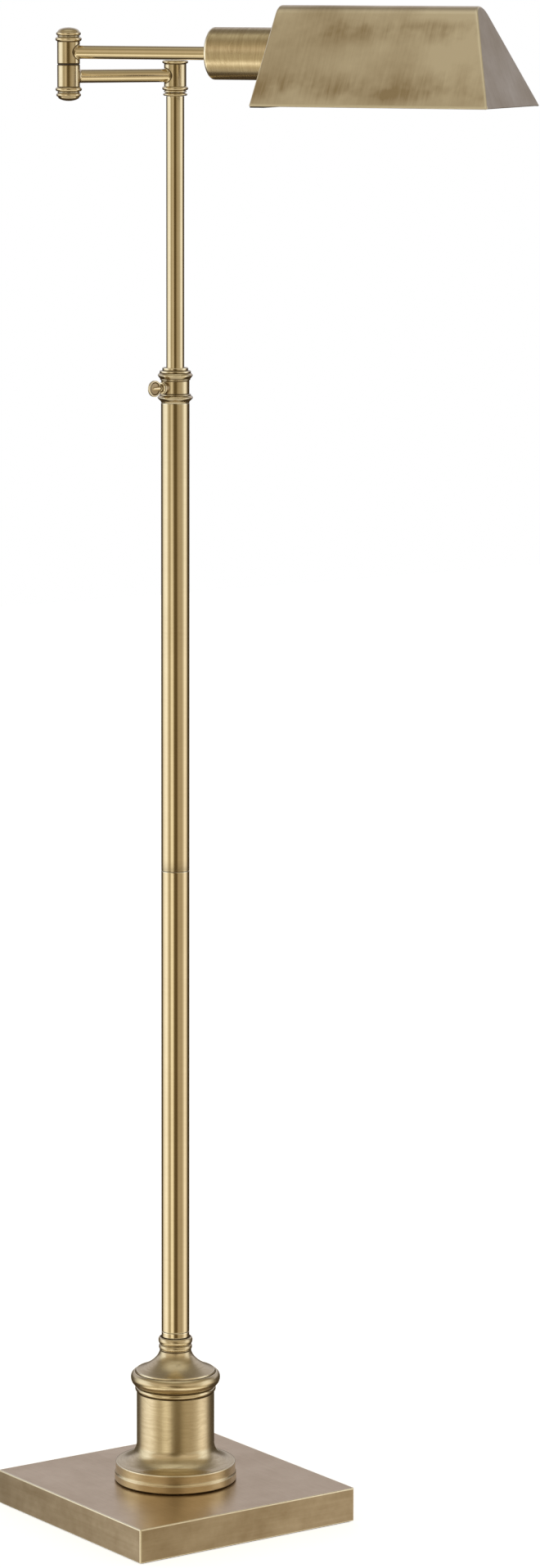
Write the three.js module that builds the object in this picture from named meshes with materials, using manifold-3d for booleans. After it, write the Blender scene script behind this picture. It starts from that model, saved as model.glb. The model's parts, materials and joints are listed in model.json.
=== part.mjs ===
// Pharmacy floor lamp: a weighted square base, a telescoping pole, two swing arms that fold
// at a knuckle, and a roof-shaped metal shade on a socket cup that rolls about its arm.
// Millimetres, +Z up. The origin is the centre of the base's underside, on the pole's axis,
// with the base's edges along X and Y. At rest the mast is fully raised, the arms are half
// folded and the shade is level.
import * as THREE from "three";
import { mergeVertices } from "three/addons/utils/BufferGeometryUtils.js";
import Module from "manifold-3d";

const wasm = await Module();
wasm.setup();

// ---- Driving dimensions -------------------------------------------------------------------
const GAP = 0.3; // between pieces that touch
const TOTAL_HEIGHT = 1371.6; // 54 in to the shade's ridge, mast raised

const BASE_SIDE = 235;
const BASE_HEIGHT = 32;
const BASE_WALL = 1.6;
const PAD_THICK = 2;
const WEIGHT_SIDE = 220;
const WEIGHT_TOP = 17.3;

const FLANGE_R = 55.7;
const FLANGE_TOP = 49.6;
const COLUMN_R = 35.5;
const FLARE_WIDTH = 18; // concave foot of the column, on the flange
const FLARE_HEIGHT = 18;
const COLUMN_TOP = 115.6;
const SHOULDER_R = 40.8; // widest turning, on the cap above the column
const CAP_TOP = 166.4;

const POLE_R = 12.7;
const POLE_BORE = 11.5;
const POLE_FOOT = 171.8;
const POLE_SEAM = 598.4;
const POLE_TOP = 1020.3;
const COLLAR_TOP = 1051.5;
const SCREW_Z = 1034;
const SCREW_ANGLE = 189.8; // thumbscrew's side of the collar, degrees

const MAST_R = 7.95;
const MAST_BORE = 6.7;
const MAST_FOOT = 984;
const MAST_TOP = 1291;
const STUD_R = 4.5; // hollow threaded studs that the arms turn on
const STUD_BORE = 3;

const LOWER_ARM_Z = 1309;
const UPPER_ARM_Z = 1330;
const LOWER_ARM_ANGLE = 173.5; // from the hub to the knuckle, degrees
const UPPER_ARM_ANGLE = -57.7; // from the knuckle to the shade, degrees
const ARM_LENGTH = 105; // hub axis to knuckle axis
const ARM_R = 5.75;
const ARM_BORE = 4.6;
const HUB_R = 9.8;
const CHAMBER_R = 7; // wiring chamber inside the hub and the knuckle
const ARM_INSET = 7.6; // from a joint's axis to the end of an arm tube

// Lengths below are measured along the upper arm from the knuckle's axis.
const CUP_START = 136.8;
const CUP_END = 206;
const CUP_R = 22.5;
const CUP_WALL = 1.2;
const SHADE_START = 197.3; // socket end, at the bottom rim
const SHADE_END = 412.8; // far end, at the bottom rim
const SHADE_START_LEAN = 3; // how far each end leans in by the ridge
const SHADE_END_LEAN = 30.8;
const SHADE_HALF_WIDTH = 65.5;
const SHADE_RIM = -42.7; // rim's height relative to the arm's axis
const SHADE_RIDGE = TOTAL_HEIGHT - UPPER_ARM_Z;
const RIDGE_R = 16;
const RIDGE_STEPS = 9;
const LIP_DEPTH = 13; // of the strip turned in under the socket end's rim
const SHEET = 1.2;
const BULB_R = 15.5;

const WIRE_R = 1.5;

// ---- Materials ----------------------------------------------------------------------------
const finish = (color, roughness, metalness) => () =>
  new THREE.MeshStandardMaterial({ color, roughness, metalness });
const agedBrass = finish(0xa39373, 0.36, 1);
const brightBrass = finish(0xc8b07a, 0.3, 1);
const castIron = finish(0x3a3937, 0.8, 0.6);
const steel = finish(0x9b9b98, 0.4, 1);
const felt = finish(0x1f1f1f, 0.95, 0);
const blackPlastic = finish(0x232120, 0.5, 0);
const nylon = finish(0xd9d4c6, 0.5, 0);
const glass = finish(0xf4f2ea, 0.1, 0);
const wireJacket = finish(0xb59a5c, 0.55, 0);

// ---- Geometry helpers ---------------------------------------------------------------------
const X_AXIS = new THREE.Vector3(1, 0, 0);
const Y_AXIS = new THREE.Vector3(0, 1, 0);
const Z_AXIS = new THREE.Vector3(0, 0, 1);
const radians = THREE.MathUtils.degToRad;

// A solid turned about Z from [radius, height] points, listed outside upwards, inside down.
// The profile closes on itself unless it starts and ends on the axis.
function turned(profile, segments = 20) {
  const points = profile.map(([r, z]) => new THREE.Vector2(r, z));
  if (profile[0][0] > 0) points.push(points[0].clone());
  return new THREE.LatheGeometry(points, segments).rotateX(Math.PI / 2);
}

// The same, turned about X, with the profile's heights as places along X.
const turnedAlongX = (profile, segments) => turned(profile, segments).rotateY(Math.PI / 2);

// A half-round moulding from z0 to z1 that swells from one radius to another.
function bead(z0, z1, inner, outer, steps = 4) {
  return Array.from({ length: steps + 1 }, (_, i) => {
    const angle = (Math.PI * i) / steps;
    const swell = (outer - inner) * Math.sin(angle);
    return [inner + swell, z0 + ((z1 - z0) * (1 - Math.cos(angle))) / 2];
  });
}

// Points of an elliptical arc in a turned profile, from one angle to another in degrees.
function arc(r, z, width, height, from, to, steps = 4) {
  return Array.from({ length: steps + 1 }, (_, i) => {
    const angle = radians(from + ((to - from) * i) / steps);
    return [r + width * Math.cos(angle), z + height * Math.sin(angle)];
  });
}

const tube = (outer, bore, z0, z1, segments) =>
  turned([[outer, z0], [outer, z1], [bore, z1], [bore, z0]], segments);

const rod = (radius, z0, z1, segments) =>
  turned([[0, z0], [radius, z0], [radius, z1], [0, z1]], segments);

const box = (x0, x1, y0, y1, z0, z1) =>
  new THREE.BoxGeometry(x1 - x0, y1 - y0, z1 - z0).translate(
    (x0 + x1) / 2,
    (y0 + y1) / 2,
    (z0 + z1) / 2,
  );

// A square plate with rounded corners and bevelled top and bottom edges.
function roundedPlate(side, z0, z1, corner, bevel) {
  const half = side / 2 - bevel;
  const shape = new THREE.Shape();
  shape.moveTo(half - corner, -half);
  shape.absarc(half - corner, corner - half, corner, -Math.PI / 2, 0);
  shape.absarc(half - corner, half - corner, corner, 0, Math.PI / 2);
  shape.absarc(corner - half, half - corner, corner, Math.PI / 2, Math.PI);
  shape.absarc(corner - half, corner - half, corner, Math.PI, 1.5 * Math.PI);
  const plate = new THREE.ExtrudeGeometry(shape, {
    depth: z1 - z0 - 2 * bevel,
    bevelEnabled: bevel > 0,
    bevelThickness: bevel,
    bevelSize: bevel,
    bevelSegments: 2,
    curveSegments: 3,
  });
  return plate.translate(0, 0, z0 + bevel);
}

// A round wire through a list of points.
function wire(points, steps) {
  const section = new THREE.Shape().absarc(0, 0, WIRE_R, 0, 2 * Math.PI);
  const route = new THREE.CatmullRomCurve3(points.map((p) => new THREE.Vector3(...p)));
  const options = { steps, curveSegments: 3, bevelEnabled: false, extrudePath: route };
  return new THREE.ExtrudeGeometry(section, options);
}

// A closed geometry as a manifold-3d solid, for cutting and joining.
function solid(geometry) {
  const source = geometry.index ? geometry.toNonIndexed() : geometry;
  const bare = new THREE.BufferGeometry();
  bare.setAttribute("position", source.getAttribute("position"));
  const merged = mergeVertices(bare, 1e-4);
  return new wasm.Manifold(
    new wasm.Mesh({
      numProp: 3,
      vertProperties: merged.getAttribute("position").array,
      triVerts: new Uint32Array(merged.index.array),
    }),
  );
}

function toGeometry(made) {
  const { vertProperties, triVerts } = made.getMesh();
  return new THREE.BufferGeometry()
    .setAttribute("position", new THREE.BufferAttribute(vertProperties, 3))
    .setIndex(new THREE.BufferAttribute(triVerts, 1));
}

const cut = (geometry, ...tools) =>
  toGeometry(tools.reduce((left, tool) => left.subtract(solid(tool)), solid(geometry)));
const join = (...pieces) =>
  toGeometry(pieces.map(solid).reduce((left, piece) => left.add(piece)));
const common = (a, b) => toGeometry(solid(a).intersect(solid(b)));

// A six-sided nut along Z, sized by its corners' radius, with a round bore.
const nut = (cornerR, bore, z0, z1) => cut(rod(cornerR, z0, z1, 6), rod(bore, z0 - 1, z1 + 1, 16));

function add(group, name, geometry, material) {
  const mesh = new THREE.Mesh(geometry, material());
  mesh.name = name;
  group.add(mesh);
}

// ---- Base ---------------------------------------------------------------------------------
const BUSHING_Z = 11;
const NUT_TOP = 12;
const TIE_ROD_R = 5;
const TIE_ROD_FOOT = 7.6;
const TIE_ROD_TOP = 204;

function makeBase(group) {
  const insideSide = BASE_SIDE - 2 * BASE_WALL;
  const ceiling = BASE_HEIGHT - BASE_WALL;
  const bushingHole = rod(4.6, 100, 130, 16).rotateX(-Math.PI / 2).translate(0, 0, BUSHING_Z);
  const cover = cut(
    roundedPlate(BASE_SIDE, -4, BASE_HEIGHT, 1.5, 1.6),
    roundedPlate(insideSide, -10, ceiling, 1, 0),
    box(-200, 200, -200, 200, -10, 1),
    rod(TIE_ROD_R + GAP, 0, 40),
    bushingHole,
  );
  add(group, "base_cover", cover, agedBrass);

  const weight = cut(
    roundedPlate(WEIGHT_SIDE, PAD_THICK + GAP, WEIGHT_TOP, 4, 0),
    rod(TIE_ROD_R + GAP, 0, 40),
    rod(13, 0, NUT_TOP + GAP),
    box(-4.5, 4.5, 0, 120, 0, NUT_TOP),
  );
  add(group, "base_weight", weight, castIron);
  add(group, "base_pad", roundedPlate(insideSide - 1, 0, PAD_THICK, 2, 0), felt);

  // Flanged plastic bushing that lines the hole where the supply lead enters at the back.
  const bushing = turned(
    [[4.2, 111.5], [4.2, 117.8], [6.6, 117.8], [6.3, 119.6], [3, 119.6], [3, 111.5]],
    16,
  );
  bushing.rotateX(-Math.PI / 2).translate(0, 0, BUSHING_Z);
  add(group, "cord_bushing", bushing, blackPlastic);
  add(group, "base_nut", nut(9.5, TIE_ROD_R + GAP, TIE_ROD_FOOT + 0.4, NUT_TOP), steel);
}

// ---- Column -------------------------------------------------------------------------------
function makeColumn(group) {
  const floor = BASE_HEIGHT + GAP;
  const flareTop = FLANGE_TOP + FLARE_HEIGHT;
  const flare = arc(COLUMN_R + FLARE_WIDTH, flareTop, FLARE_WIDTH, FLARE_HEIGHT - 0.6, 270, 180, 5);
  const column = turned(
    [
      [FLANGE_R - 0.7, floor],
      [FLANGE_R, floor + 0.7],
      [FLANGE_R, 39.6],
      [FLANGE_R - 0.9, 42],
      [FLANGE_R - 0.9, FLANGE_TOP - 0.7],
      [FLANGE_R - 1.6, FLANGE_TOP],
      ...flare,
      [COLUMN_R, COLUMN_TOP],
      [COLUMN_R - 2.5, COLUMN_TOP],
      [COLUMN_R - 2.5, floor],
    ],
    28,
  );
  add(group, "column_shell", column, agedBrass);
  const ringTop = COLUMN_TOP + 4.8;
  const ring = turned(
    [[30, COLUMN_TOP + GAP], ...bead(COLUMN_TOP + GAP, ringTop, 35.6, 36.6, 3), [30, ringTop]],
    28,
  );
  add(group, "column_ring", ring, agedBrass);

  // Cap: ovolo shoulder, concave bell and two beads, hollow below the tie rod's seat.
  const foot = ringTop + GAP;
  const bell = new THREE.CubicBezierCurve(
    new THREE.Vector2(36.2, 135.3),
    new THREE.Vector2(28, 138.2),
    new THREE.Vector2(15.5, 145),
    new THREE.Vector2(14.3, 154.4),
  );
  const cap = turned(
    [
      [SHOULDER_R - 4.4, foot],
      ...arc(SHOULDER_R - 6, 128.8, 6, 7.9, -70, 0, 3),
      ...arc(SHOULDER_R - 6, 128.8, 6, 6.2, 30, 70, 1),
      [35.7, 134.8],
      ...bell.getPoints(7).map((p) => [p.x, p.y]),
      ...bead(155, 159.4, 14.2, 15.1, 3),
      ...bead(160.2, CAP_TOP, 14, 15.5, 4),
      [TIE_ROD_R + GAP, CAP_TOP],
      [TIE_ROD_R + GAP, 150],
      [11, 146],
      [22, 136],
      [SHOULDER_R - 8, 130],
      [SHOULDER_R - 8, foot],
    ],
    28,
  );
  add(group, "column_cap", cap, agedBrass);
  add(group, "tie_rod", tube(TIE_ROD_R, 3.5, TIE_ROD_FOOT, TIE_ROD_TOP, 16), steel);
}

// ---- Pole ---------------------------------------------------------------------------------
function makePole(group) {
  const foot = CAP_TOP + GAP;
  const plug = POLE_BORE - GAP;
  const footRing = turned([
    [POLE_R, foot],
    [POLE_R, POLE_FOOT - GAP],
    [plug, POLE_FOOT - GAP],
    [plug, TIE_ROD_TOP - 2],
    [TIE_ROD_R + GAP, TIE_ROD_TOP - 2],
    [TIE_ROD_R + GAP, foot],
  ]);
  add(group, "pole_foot_ring", footRing, agedBrass);
  const half = GAP / 2;
  const lower = tube(POLE_R, POLE_BORE, POLE_FOOT, POLE_SEAM - half);
  const upper = tube(POLE_R, POLE_BORE, POLE_SEAM + half, POLE_TOP - half);
  add(group, "lower_pole_tube", lower, agedBrass);
  add(group, "upper_pole_tube", upper, agedBrass);
  const coupler = tube(plug, plug - 2, POLE_SEAM - 30, POLE_SEAM + 30);
  add(group, "pole_coupler", coupler, steel);
}

// ---- Collar and thumbscrew ----------------------------------------------------------------
// Places a piece that was made along +X on the thumbscrew's line.
const ontoScrewLine = (geometry) =>
  geometry.rotateZ(radians(SCREW_ANGLE)).translate(0, 0, SCREW_Z);
const SCREW_R = 2;
const BOSS_FACE = 16.3;

function makeCollar(group) {
  const bore = MAST_R + 0.35;
  const plug = POLE_BORE - GAP;
  const barrel = 12.6;
  const turning = turned([
    [plug, 1000],
    [plug, POLE_TOP + GAP],
    [POLE_R, POLE_TOP + GAP],
    [POLE_R, 1022],
    ...bead(1022.2, 1027.6, 13.3, 15.9, 4),
    [barrel, 1028.2],
    [barrel, 1040.3],
    [13.3, 1041.5],
    ...bead(1042.4, 1047.2, 13.4, 15.7, 4),
    [13.4, 1048.9],
    [11.5, 1049.2],
    [11.5, COLLAR_TOP],
    [bore, COLLAR_TOP],
    [bore, 1000],
  ]);
  const bossProfile = [[0, 9.5], [5.4, 9.5], [5.4, BOSS_FACE], [0, BOSS_FACE]];
  const boss = ontoScrewLine(turnedAlongX(bossProfile, 16));
  const core = rod(bore, 990, 1060);
  const screwHole = ontoScrewLine(turnedAlongX([[0, 5], [2.35, 5], [2.35, 20], [0, 20]], 12));
  add(group, "collar", cut(join(turning, boss), core, screwHole), agedBrass);
  const pad = turnedAlongX([[0, MAST_R + 0.5], [1.9, MAST_R + 0.5], [1.9, 10], [0, 10]], 12);
  add(group, "clamp_pad", ontoScrewLine(pad), nylon);

  // Thumbscrew: threaded shank, round shoulder and a spade head in the shank's plane.
  const shank = turnedAlongX(
    [
      [0, 10.4],
      [SCREW_R, 10.4],
      [SCREW_R, BOSS_FACE + GAP],
      [4.9, BOSS_FACE + GAP],
      [4.9, BOSS_FACE + 1.5],
      [2.4, BOSS_FACE + 2.6],
      [2, 25],
      [0, 26.5],
    ],
    16,
  );
  const spade = rod(7.2, -1.2, 1.2, 24).rotateX(Math.PI / 2).translate(25.6, 0, 0);
  add(group, "thumbscrew", ontoScrewLine(join(shank, spade)), agedBrass);
}

// ---- Mast ---------------------------------------------------------------------------------
const COLLAR_SHOULDER = 1294; // where the hub rests on the mast's collar
const HUB_STUD_TOP = 1304;

function makeMast(group) {
  add(group, "mast_tube", tube(MAST_R, MAST_BORE, MAST_FOOT, MAST_TOP), agedBrass);
  const guide = tube(POLE_BORE - GAP, MAST_R + GAP, MAST_FOOT + 0.5, MAST_FOOT + 15.5);
  add(group, "mast_guide", guide, nylon);
  const plug = MAST_BORE - GAP;
  const collar = turned([
    [plug, MAST_TOP - 16],
    [plug, MAST_TOP + GAP],
    ...bead(MAST_TOP + GAP, COLLAR_SHOULDER - 0.4, 9.6, 10.6, 3),
    [8.8, COLLAR_SHOULDER],
    [STUD_R + GAP, COLLAR_SHOULDER],
    [STUD_R + GAP, MAST_TOP - 16],
  ]);
  add(group, "mast_collar", collar, agedBrass);
  add(group, "hub_stud", tube(STUD_R, STUD_BORE, MAST_TOP - 15, HUB_STUD_TOP, 16), steel);
  const nutFoot = 1300.8;
  add(group, "hub_nut", nut(6.4, STUD_R + GAP, nutFoot, HUB_STUD_TOP - 0.6), steel);
}

// ---- Hub and lower arm --------------------------------------------------------------------
const HUB_TOP = 1322.3;

// A hole through a joint's wall for an arm tube that leaves along +X.
const armHole = (z) =>
  turnedAlongX([[0, 0], [ARM_R + GAP, 0], [ARM_R + GAP, 20], [0, 20]]).translate(0, 0, z);

const armTube = (start, end, z) =>
  turnedAlongX([[ARM_R, start], [ARM_R, end], [ARM_BORE, end], [ARM_BORE, start]]).translate(0, 0, z);

function makeHub(group) {
  const foot = COLLAR_SHOULDER + GAP;
  const turning = turned([
    [8.9, foot],
    ...bead(foot, 1296, 8.9, 9.9, 2),
    ...bead(1296.1, 1299.4, 9.8, 11.5, 4),
    [HUB_R, 1299.8],
    [HUB_R, 1319.4],
    ...bead(1319.6, HUB_TOP, 10.1, 11.3, 3),
    [CHAMBER_R, HUB_TOP],
    [CHAMBER_R, 1300.5],
    [STUD_R + GAP, 1300.5],
    [STUD_R + GAP, foot],
  ]);
  add(group, "hub", cut(turning, armHole(LOWER_ARM_Z)), agedBrass);
  add(group, "hub_cap", rod(CHAMBER_R - GAP, 1317.5, HUB_TOP - 0.5), agedBrass);
  const arm = armTube(ARM_INSET, ARM_LENGTH - ARM_INSET, LOWER_ARM_Z);
  add(group, "lower_arm_tube", arm, agedBrass);
}

// ---- Knuckle ------------------------------------------------------------------------------
// Both halves are the same turning, mirrored in the seam between the arms. Heights here are
// measured from the seam; side is 1 for the upper half and -1 for the lower.
const KNUCKLE_R = 9.9;
const RING_TOP = 23.4;
const WEB = 4.4; // thickness of each half next to the seam
const SEAM = (LOWER_ARM_Z + UPPER_ARM_Z) / 2;

const onSide = (geometry, side) => (side > 0 ? geometry : geometry.rotateX(Math.PI));

function knuckleHalf(side) {
  const turning = turned([
    [KNUCKLE_R, 0.6],
    [KNUCKLE_R, 19.9],
    ...bead(20.1, RING_TOP, 10.2, 11.4, 4),
    [CHAMBER_R, RING_TOP],
    [CHAMBER_R, WEB],
    [STUD_R + GAP, WEB],
    [STUD_R + GAP, 0.6],
  ]);
  return cut(onSide(turning, side), armHole((side * (UPPER_ARM_Z - LOWER_ARM_Z)) / 2));
}

function knuckleFinial(side) {
  const foot = RING_TOP + GAP;
  const turning = turned([
    [0, 18],
    [CHAMBER_R - GAP, 18],
    [CHAMBER_R - GAP, foot],
    [9.4, foot],
    [9.4, 24.9],
    ...bead(25, 28, 9.9, 10.7, 3),
    ...arc(0, 28, 9.4, 3.8, 0, 90, 4),
  ]);
  return onSide(turning, side);
}

function makeKnuckleLower(group) {
  add(group, "knuckle_lower", knuckleHalf(-1).rotateZ(Math.PI), agedBrass);
  add(group, "knuckle_finial_lower", knuckleFinial(-1), agedBrass);
  add(group, "knuckle_stud", tube(STUD_R, STUD_BORE, -7.6, 7.6, 16), steel);
  add(group, "knuckle_nut_lower", nut(6.4, STUD_R + GAP, -7.2, -WEB - GAP), steel);
  add(group, "knuckle_nut_upper", nut(6.4, STUD_R + GAP, WEB + GAP, 7.2), steel);
  add(group, "knuckle_washer", tube(9.5, STUD_R + GAP, -0.3, 0.3), nylon);
}

function makeKnuckleUpper(group) {
  add(group, "knuckle_upper", knuckleHalf(1), agedBrass);
  add(group, "knuckle_finial_upper", knuckleFinial(1), agedBrass);
}

// ---- Upper arm and socket cup --------------------------------------------------------------
const SWITCH_X = 178; // switch's place along the arm

// Places a piece made along +Z on the switch's line, which leaves the cup level, at its back.
const ontoSwitchLine = (geometry) => geometry.rotateX(-Math.PI / 2).translate(SWITCH_X, 0, 0);

function makeUpperArm(group) {
  add(group, "upper_arm_tube", armTube(ARM_INSET, CUP_START + 6.5, 0), agedBrass);
  const face = CUP_START + CUP_WALL + GAP;
  const lockNut = nut(9.5, ARM_R + GAP, face, face + 4).rotateY(Math.PI / 2);
  add(group, "swivel_nut", lockNut, steel);
}

function makeCup(group) {
  const inside = CUP_R - CUP_WALL;
  const turning = turnedAlongX(
    [
      [ARM_R + 0.4, CUP_START],
      [CUP_R - 2, CUP_START],
      [CUP_R - 0.6, CUP_START + 0.6],
      [CUP_R, CUP_START + 2],
      [CUP_R, CUP_END],
      [inside, CUP_END],
      [inside, CUP_START + CUP_WALL],
      [ARM_R + 0.4, CUP_START + CUP_WALL],
    ],
    28,
  );
  const stemHole = ontoSwitchLine(rod(3.4, 10, 30, 12));
  add(group, "cup", cut(turning, stemHole), agedBrass);
}

// ---- Socket, switch and bulb ---------------------------------------------------------------
function makeSocket(group) {
  const body = turnedAlongX([
    [0, 152],
    [17.5, 152],
    [17.5, 199],
    [14.4, 199],
    [14.4, 171],
    [0, 171],
  ]);
  const stemHole = ontoSwitchLine(rod(2.4, 14, 30, 12));
  const leadHole = turnedAlongX([[0, 150], [2, 150], [2, 156], [0, 156]], 12);
  add(group, "socket_body", cut(body, stemHole, leadHole), blackPlastic);
  const shell = [[14.1, 174], [14.1, 198.5], [13.6, 198.5], [13.6, 174]];
  const shellHole = ontoSwitchLine(rod(2.4, 5, 30, 12));
  add(group, "socket_screw_shell", cut(turnedAlongX(shell), shellHole), brightBrass);
  add(group, "socket_contact", box(171.4, 173.2, -2.5, 2.5, -5, 5), brightBrass);

  // Rotary switch: a threaded bushing in the cup's wall and a ribbed knob on its stem.
  const bushing = ontoSwitchLine(tube(3.1, 1.9, 18.2, CUP_R + 3, 12));
  add(group, "switch_bushing", bushing, brightBrass);
  const knobFoot = CUP_R + 3 + GAP;
  const stem = rod(1.5, 18.4, knobFoot + 1, 12);
  const ribs = Array.from({ length: 8 }, (_, i) => {
    const angle = (i * Math.PI) / 4;
    const rib = rod(1, knobFoot + 1.5, knobFoot + 10, 8);
    return rib.translate(4.9 * Math.cos(angle), 4.9 * Math.sin(angle), 0);
  });
  const grip = turned([
    [0, knobFoot],
    [3.6, knobFoot],
    [5, knobFoot + 1.5],
    [5, knobFoot + 10],
    [4.2, knobFoot + 11],
    [0, knobFoot + 11],
  ]);
  add(group, "switch_knob", ontoSwitchLine(join(grip, stem, ...ribs)), blackPlastic);
}

function makeBulb(group) {
  const cap = turnedAlongX([
    [0, 173.7],
    [4.5, 173.7],
    [12.6, 178.5],
    [12.9, 204],
    [12.3, 204],
    [12, 180],
    [0, 180],
  ]);
  add(group, "bulb_cap", cap, steel);
  // Tubular bulb: a thin glass envelope, open at the neck that stands in the cap.
  const envelope = turnedAlongX([
    [11.6, 182],
    [11.6, 207],
    [BULB_R, 218],
    [BULB_R, 296],
    ...arc(0, 0, BULB_R, 13, 20, 90, 3).map(([r, x]) => [r, x + 296]),
    ...arc(0, 0, BULB_R - 1, 12, 90, 20, 3).map(([r, x]) => [r, x + 296]),
    [BULB_R - 1, 296],
    [BULB_R - 1, 218.5],
    [10.6, 207.5],
    [10.6, 182],
  ]);
  add(group, "bulb_glass", envelope, glass);
}

// ---- Shade ----------------------------------------------------------------------------------
// The roof's outline across the arm, drawn that much inside its outer surface: from the rim on
// one side, round the ridge, to the rim on the other.
function roofOutline(inset, rim) {
  const centre = SHADE_RIDGE - RIDGE_R;
  const drop = SHADE_RIM - centre;
  const reach = Math.hypot(SHADE_HALF_WIDTH, drop);
  const lean = Math.atan2(drop, SHADE_HALF_WIDTH) + Math.acos(RIDGE_R / reach);
  const radius = RIDGE_R - inset;
  const foot = (radius - (rim - centre) * Math.sin(lean)) / Math.cos(lean);
  const ridge = Array.from({ length: RIDGE_STEPS + 1 }, (_, i) => {
    const angle = lean + ((Math.PI - 2 * lean) * i) / RIDGE_STEPS;
    return new THREE.Vector2(radius * Math.cos(angle), centre + radius * Math.sin(angle));
  });
  return [new THREE.Vector2(foot, rim), ...ridge, new THREE.Vector2(-foot, rim)];
}

const ALONG_ARM = new THREE.Matrix4().makeBasis(Y_AXIS, Z_AXIS, X_AXIS);
const ACROSS_ARM = new THREE.Matrix4().makeBasis(X_AXIS, Z_AXIS, Y_AXIS.clone().negate());

// An outline in the plane across the arm, extruded along it.
function roofPrism(outline, start, end) {
  const options = { depth: end - start, bevelEnabled: false };
  const prism = new THREE.ExtrudeGeometry(new THREE.Shape(outline), options);
  return prism.translate(0, 0, start).applyMatrix4(ALONG_ARM);
}

// The slab of space between two leaning end planes, from each one's inset to the next.
function slab(left, right, bottom, top) {
  const endAt = (z, side) => {
    const rise = (z - SHADE_RIM) / (SHADE_RIDGE - SHADE_RIM);
    if (side === "start") return SHADE_START + SHADE_START_LEAN * rise;
    return SHADE_END - SHADE_END_LEAN * rise;
  };
  const corner = ([side, inset], z) => new THREE.Vector2(endAt(z, side) + inset, z);
  const outline = [corner(left, bottom), corner(right, bottom), corner(right, top), corner(left, top)];
  const options = { depth: 200, bevelEnabled: false };
  const prism = new THREE.ExtrudeGeometry(new THREE.Shape(outline), options);
  return prism.translate(0, 0, -100).applyMatrix4(ACROSS_ARM);
}

function makeShade(group) {
  const below = SHADE_RIM - 10;
  const above = SHADE_RIDGE + 10;
  const outer = roofOutline(0, SHADE_RIM);
  const inner = roofOutline(SHEET, SHADE_RIM).reverse();
  const roof = roofPrism([...outer, ...inner], SHADE_START - 20, SHADE_END + 20);
  const shell = common(roof, slab(["start", 0], ["end", 0], below, above));
  add(group, "shade_shell", shell, agedBrass);

  const plateOutline = roofOutline(SHEET + GAP, SHADE_RIM);
  const filled = roofPrism(plateOutline, SHADE_START - 20, SHADE_END + 20);
  const farPlate = common(filled, slab(["end", -0.4 - SHEET], ["end", -0.4], below, above));
  add(group, "shade_end_far", farPlate, agedBrass);

  // The socket end is pierced for the cup and turned in below the rim as a narrow lip.
  const nearPlate = common(filled, slab(["start", 0.4], ["start", 0.4 + SHEET], below, above));
  const cupHole = turnedAlongX([[0, 180], [CUP_R + GAP, 180], [CUP_R + GAP, 220], [0, 220]], 28);
  const lipTop = SHADE_RIM - 0.4;
  const lipStart = SHADE_START + 0.4;
  const webSide = SHADE_HALF_WIDTH - 4;
  const lipSide = SHADE_HALF_WIDTH - 2.5;
  const lipBottom = lipTop - SHEET;
  const web = box(lipStart, lipStart + SHEET, -webSide, webSide, lipBottom, SHADE_RIM + 2);
  const lip = box(lipStart, lipStart + LIP_DEPTH, -lipSide, lipSide, lipBottom, lipTop);
  add(group, "shade_end_socket", cut(join(nearPlate, web, lip), cupHole), agedBrass);

  // Locknut ring that clamps the socket end between itself and the cup's shoulder.
  const ringStart = SHADE_START + 4.6;
  const ring = [[CUP_R + 2.4, ringStart], [CUP_R + 2.4, ringStart + 3]];
  ring.push([CUP_R + GAP, ringStart + 3], [CUP_R + GAP, ringStart]);
  add(group, "cup_ring", turnedAlongX(ring, 28), agedBrass);
}

// ---- Wiring --------------------------------------------------------------------------------
function makeWires(stand, mast, lowerArm, upperArm, head) {
  const straight = (z0, z1) => rod(WIRE_R, z0, z1, 8);
  const lead = wire(
    [
      [0, 117, BUSHING_Z],
      [0, 108, BUSHING_Z - 1],
      [0, 92, 6],
      [0, 60, 4.6],
      [0, 14, 4.3],
      [0, 3.5, 4.6],
      [0, 0.3, 8],
      [0, 0, 13],
      [0, 0, 30],
    ],
    28,
  );
  add(stand, "wire_base", lead, wireJacket);
  add(stand, "wire_column", straight(30.5, 209), wireJacket);
  add(stand, "wire_slack", straight(210, MAST_FOOT - 1), wireJacket);
  add(mast, "wire_mast", straight(MAST_FOOT + 1, HUB_STUD_TOP), wireJacket);

  const z = LOWER_ARM_Z - SEAM;
  const knuckleEnd = ARM_LENGTH;
  const lower = wire(
    [
      [0, 0, HUB_STUD_TOP + 0.5 - LOWER_ARM_Z],
      [0.8, 0, -2],
      [4.5, 0, -0.2],
      [14, 0, 0],
      [knuckleEnd - 14, 0, 0],
      [knuckleEnd - 4.5, 0, 0.2],
      [knuckleEnd - 0.8, 0, 2],
      [knuckleEnd, 0, 5],
      [knuckleEnd, 0, -z - 0.5],
    ],
    26,
  );
  add(lowerArm, "wire_lower_arm", lower.translate(0, 0, LOWER_ARM_Z), wireJacket);
  const upper = wire(
    [
      [0, 0, z + 0.5],
      [0, 0, -5],
      [0.8, 0, -2],
      [4.5, 0, -0.2],
      [14, 0, 0],
      [CUP_START + 11, 0, 0],
    ],
    18,
  );
  add(upperArm, "wire_upper_arm", upper, wireJacket);
  const tail = turnedAlongX([[0, 148.4], [WIRE_R, 148.4], [WIRE_R, 155.6], [0, 155.6]], 8);
  add(head, "wire_socket", tail, wireJacket);
}

// ---- Assembly ------------------------------------------------------------------------------
const lamp = new THREE.Group();
const stand = new THREE.Group();
const mast = new THREE.Group();

const lowerArm = new THREE.Group();
lowerArm.rotation.z = radians(LOWER_ARM_ANGLE);

const knuckle = new THREE.Group();
knuckle.position.set(ARM_LENGTH, 0, SEAM);
lowerArm.add(knuckle);

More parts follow.
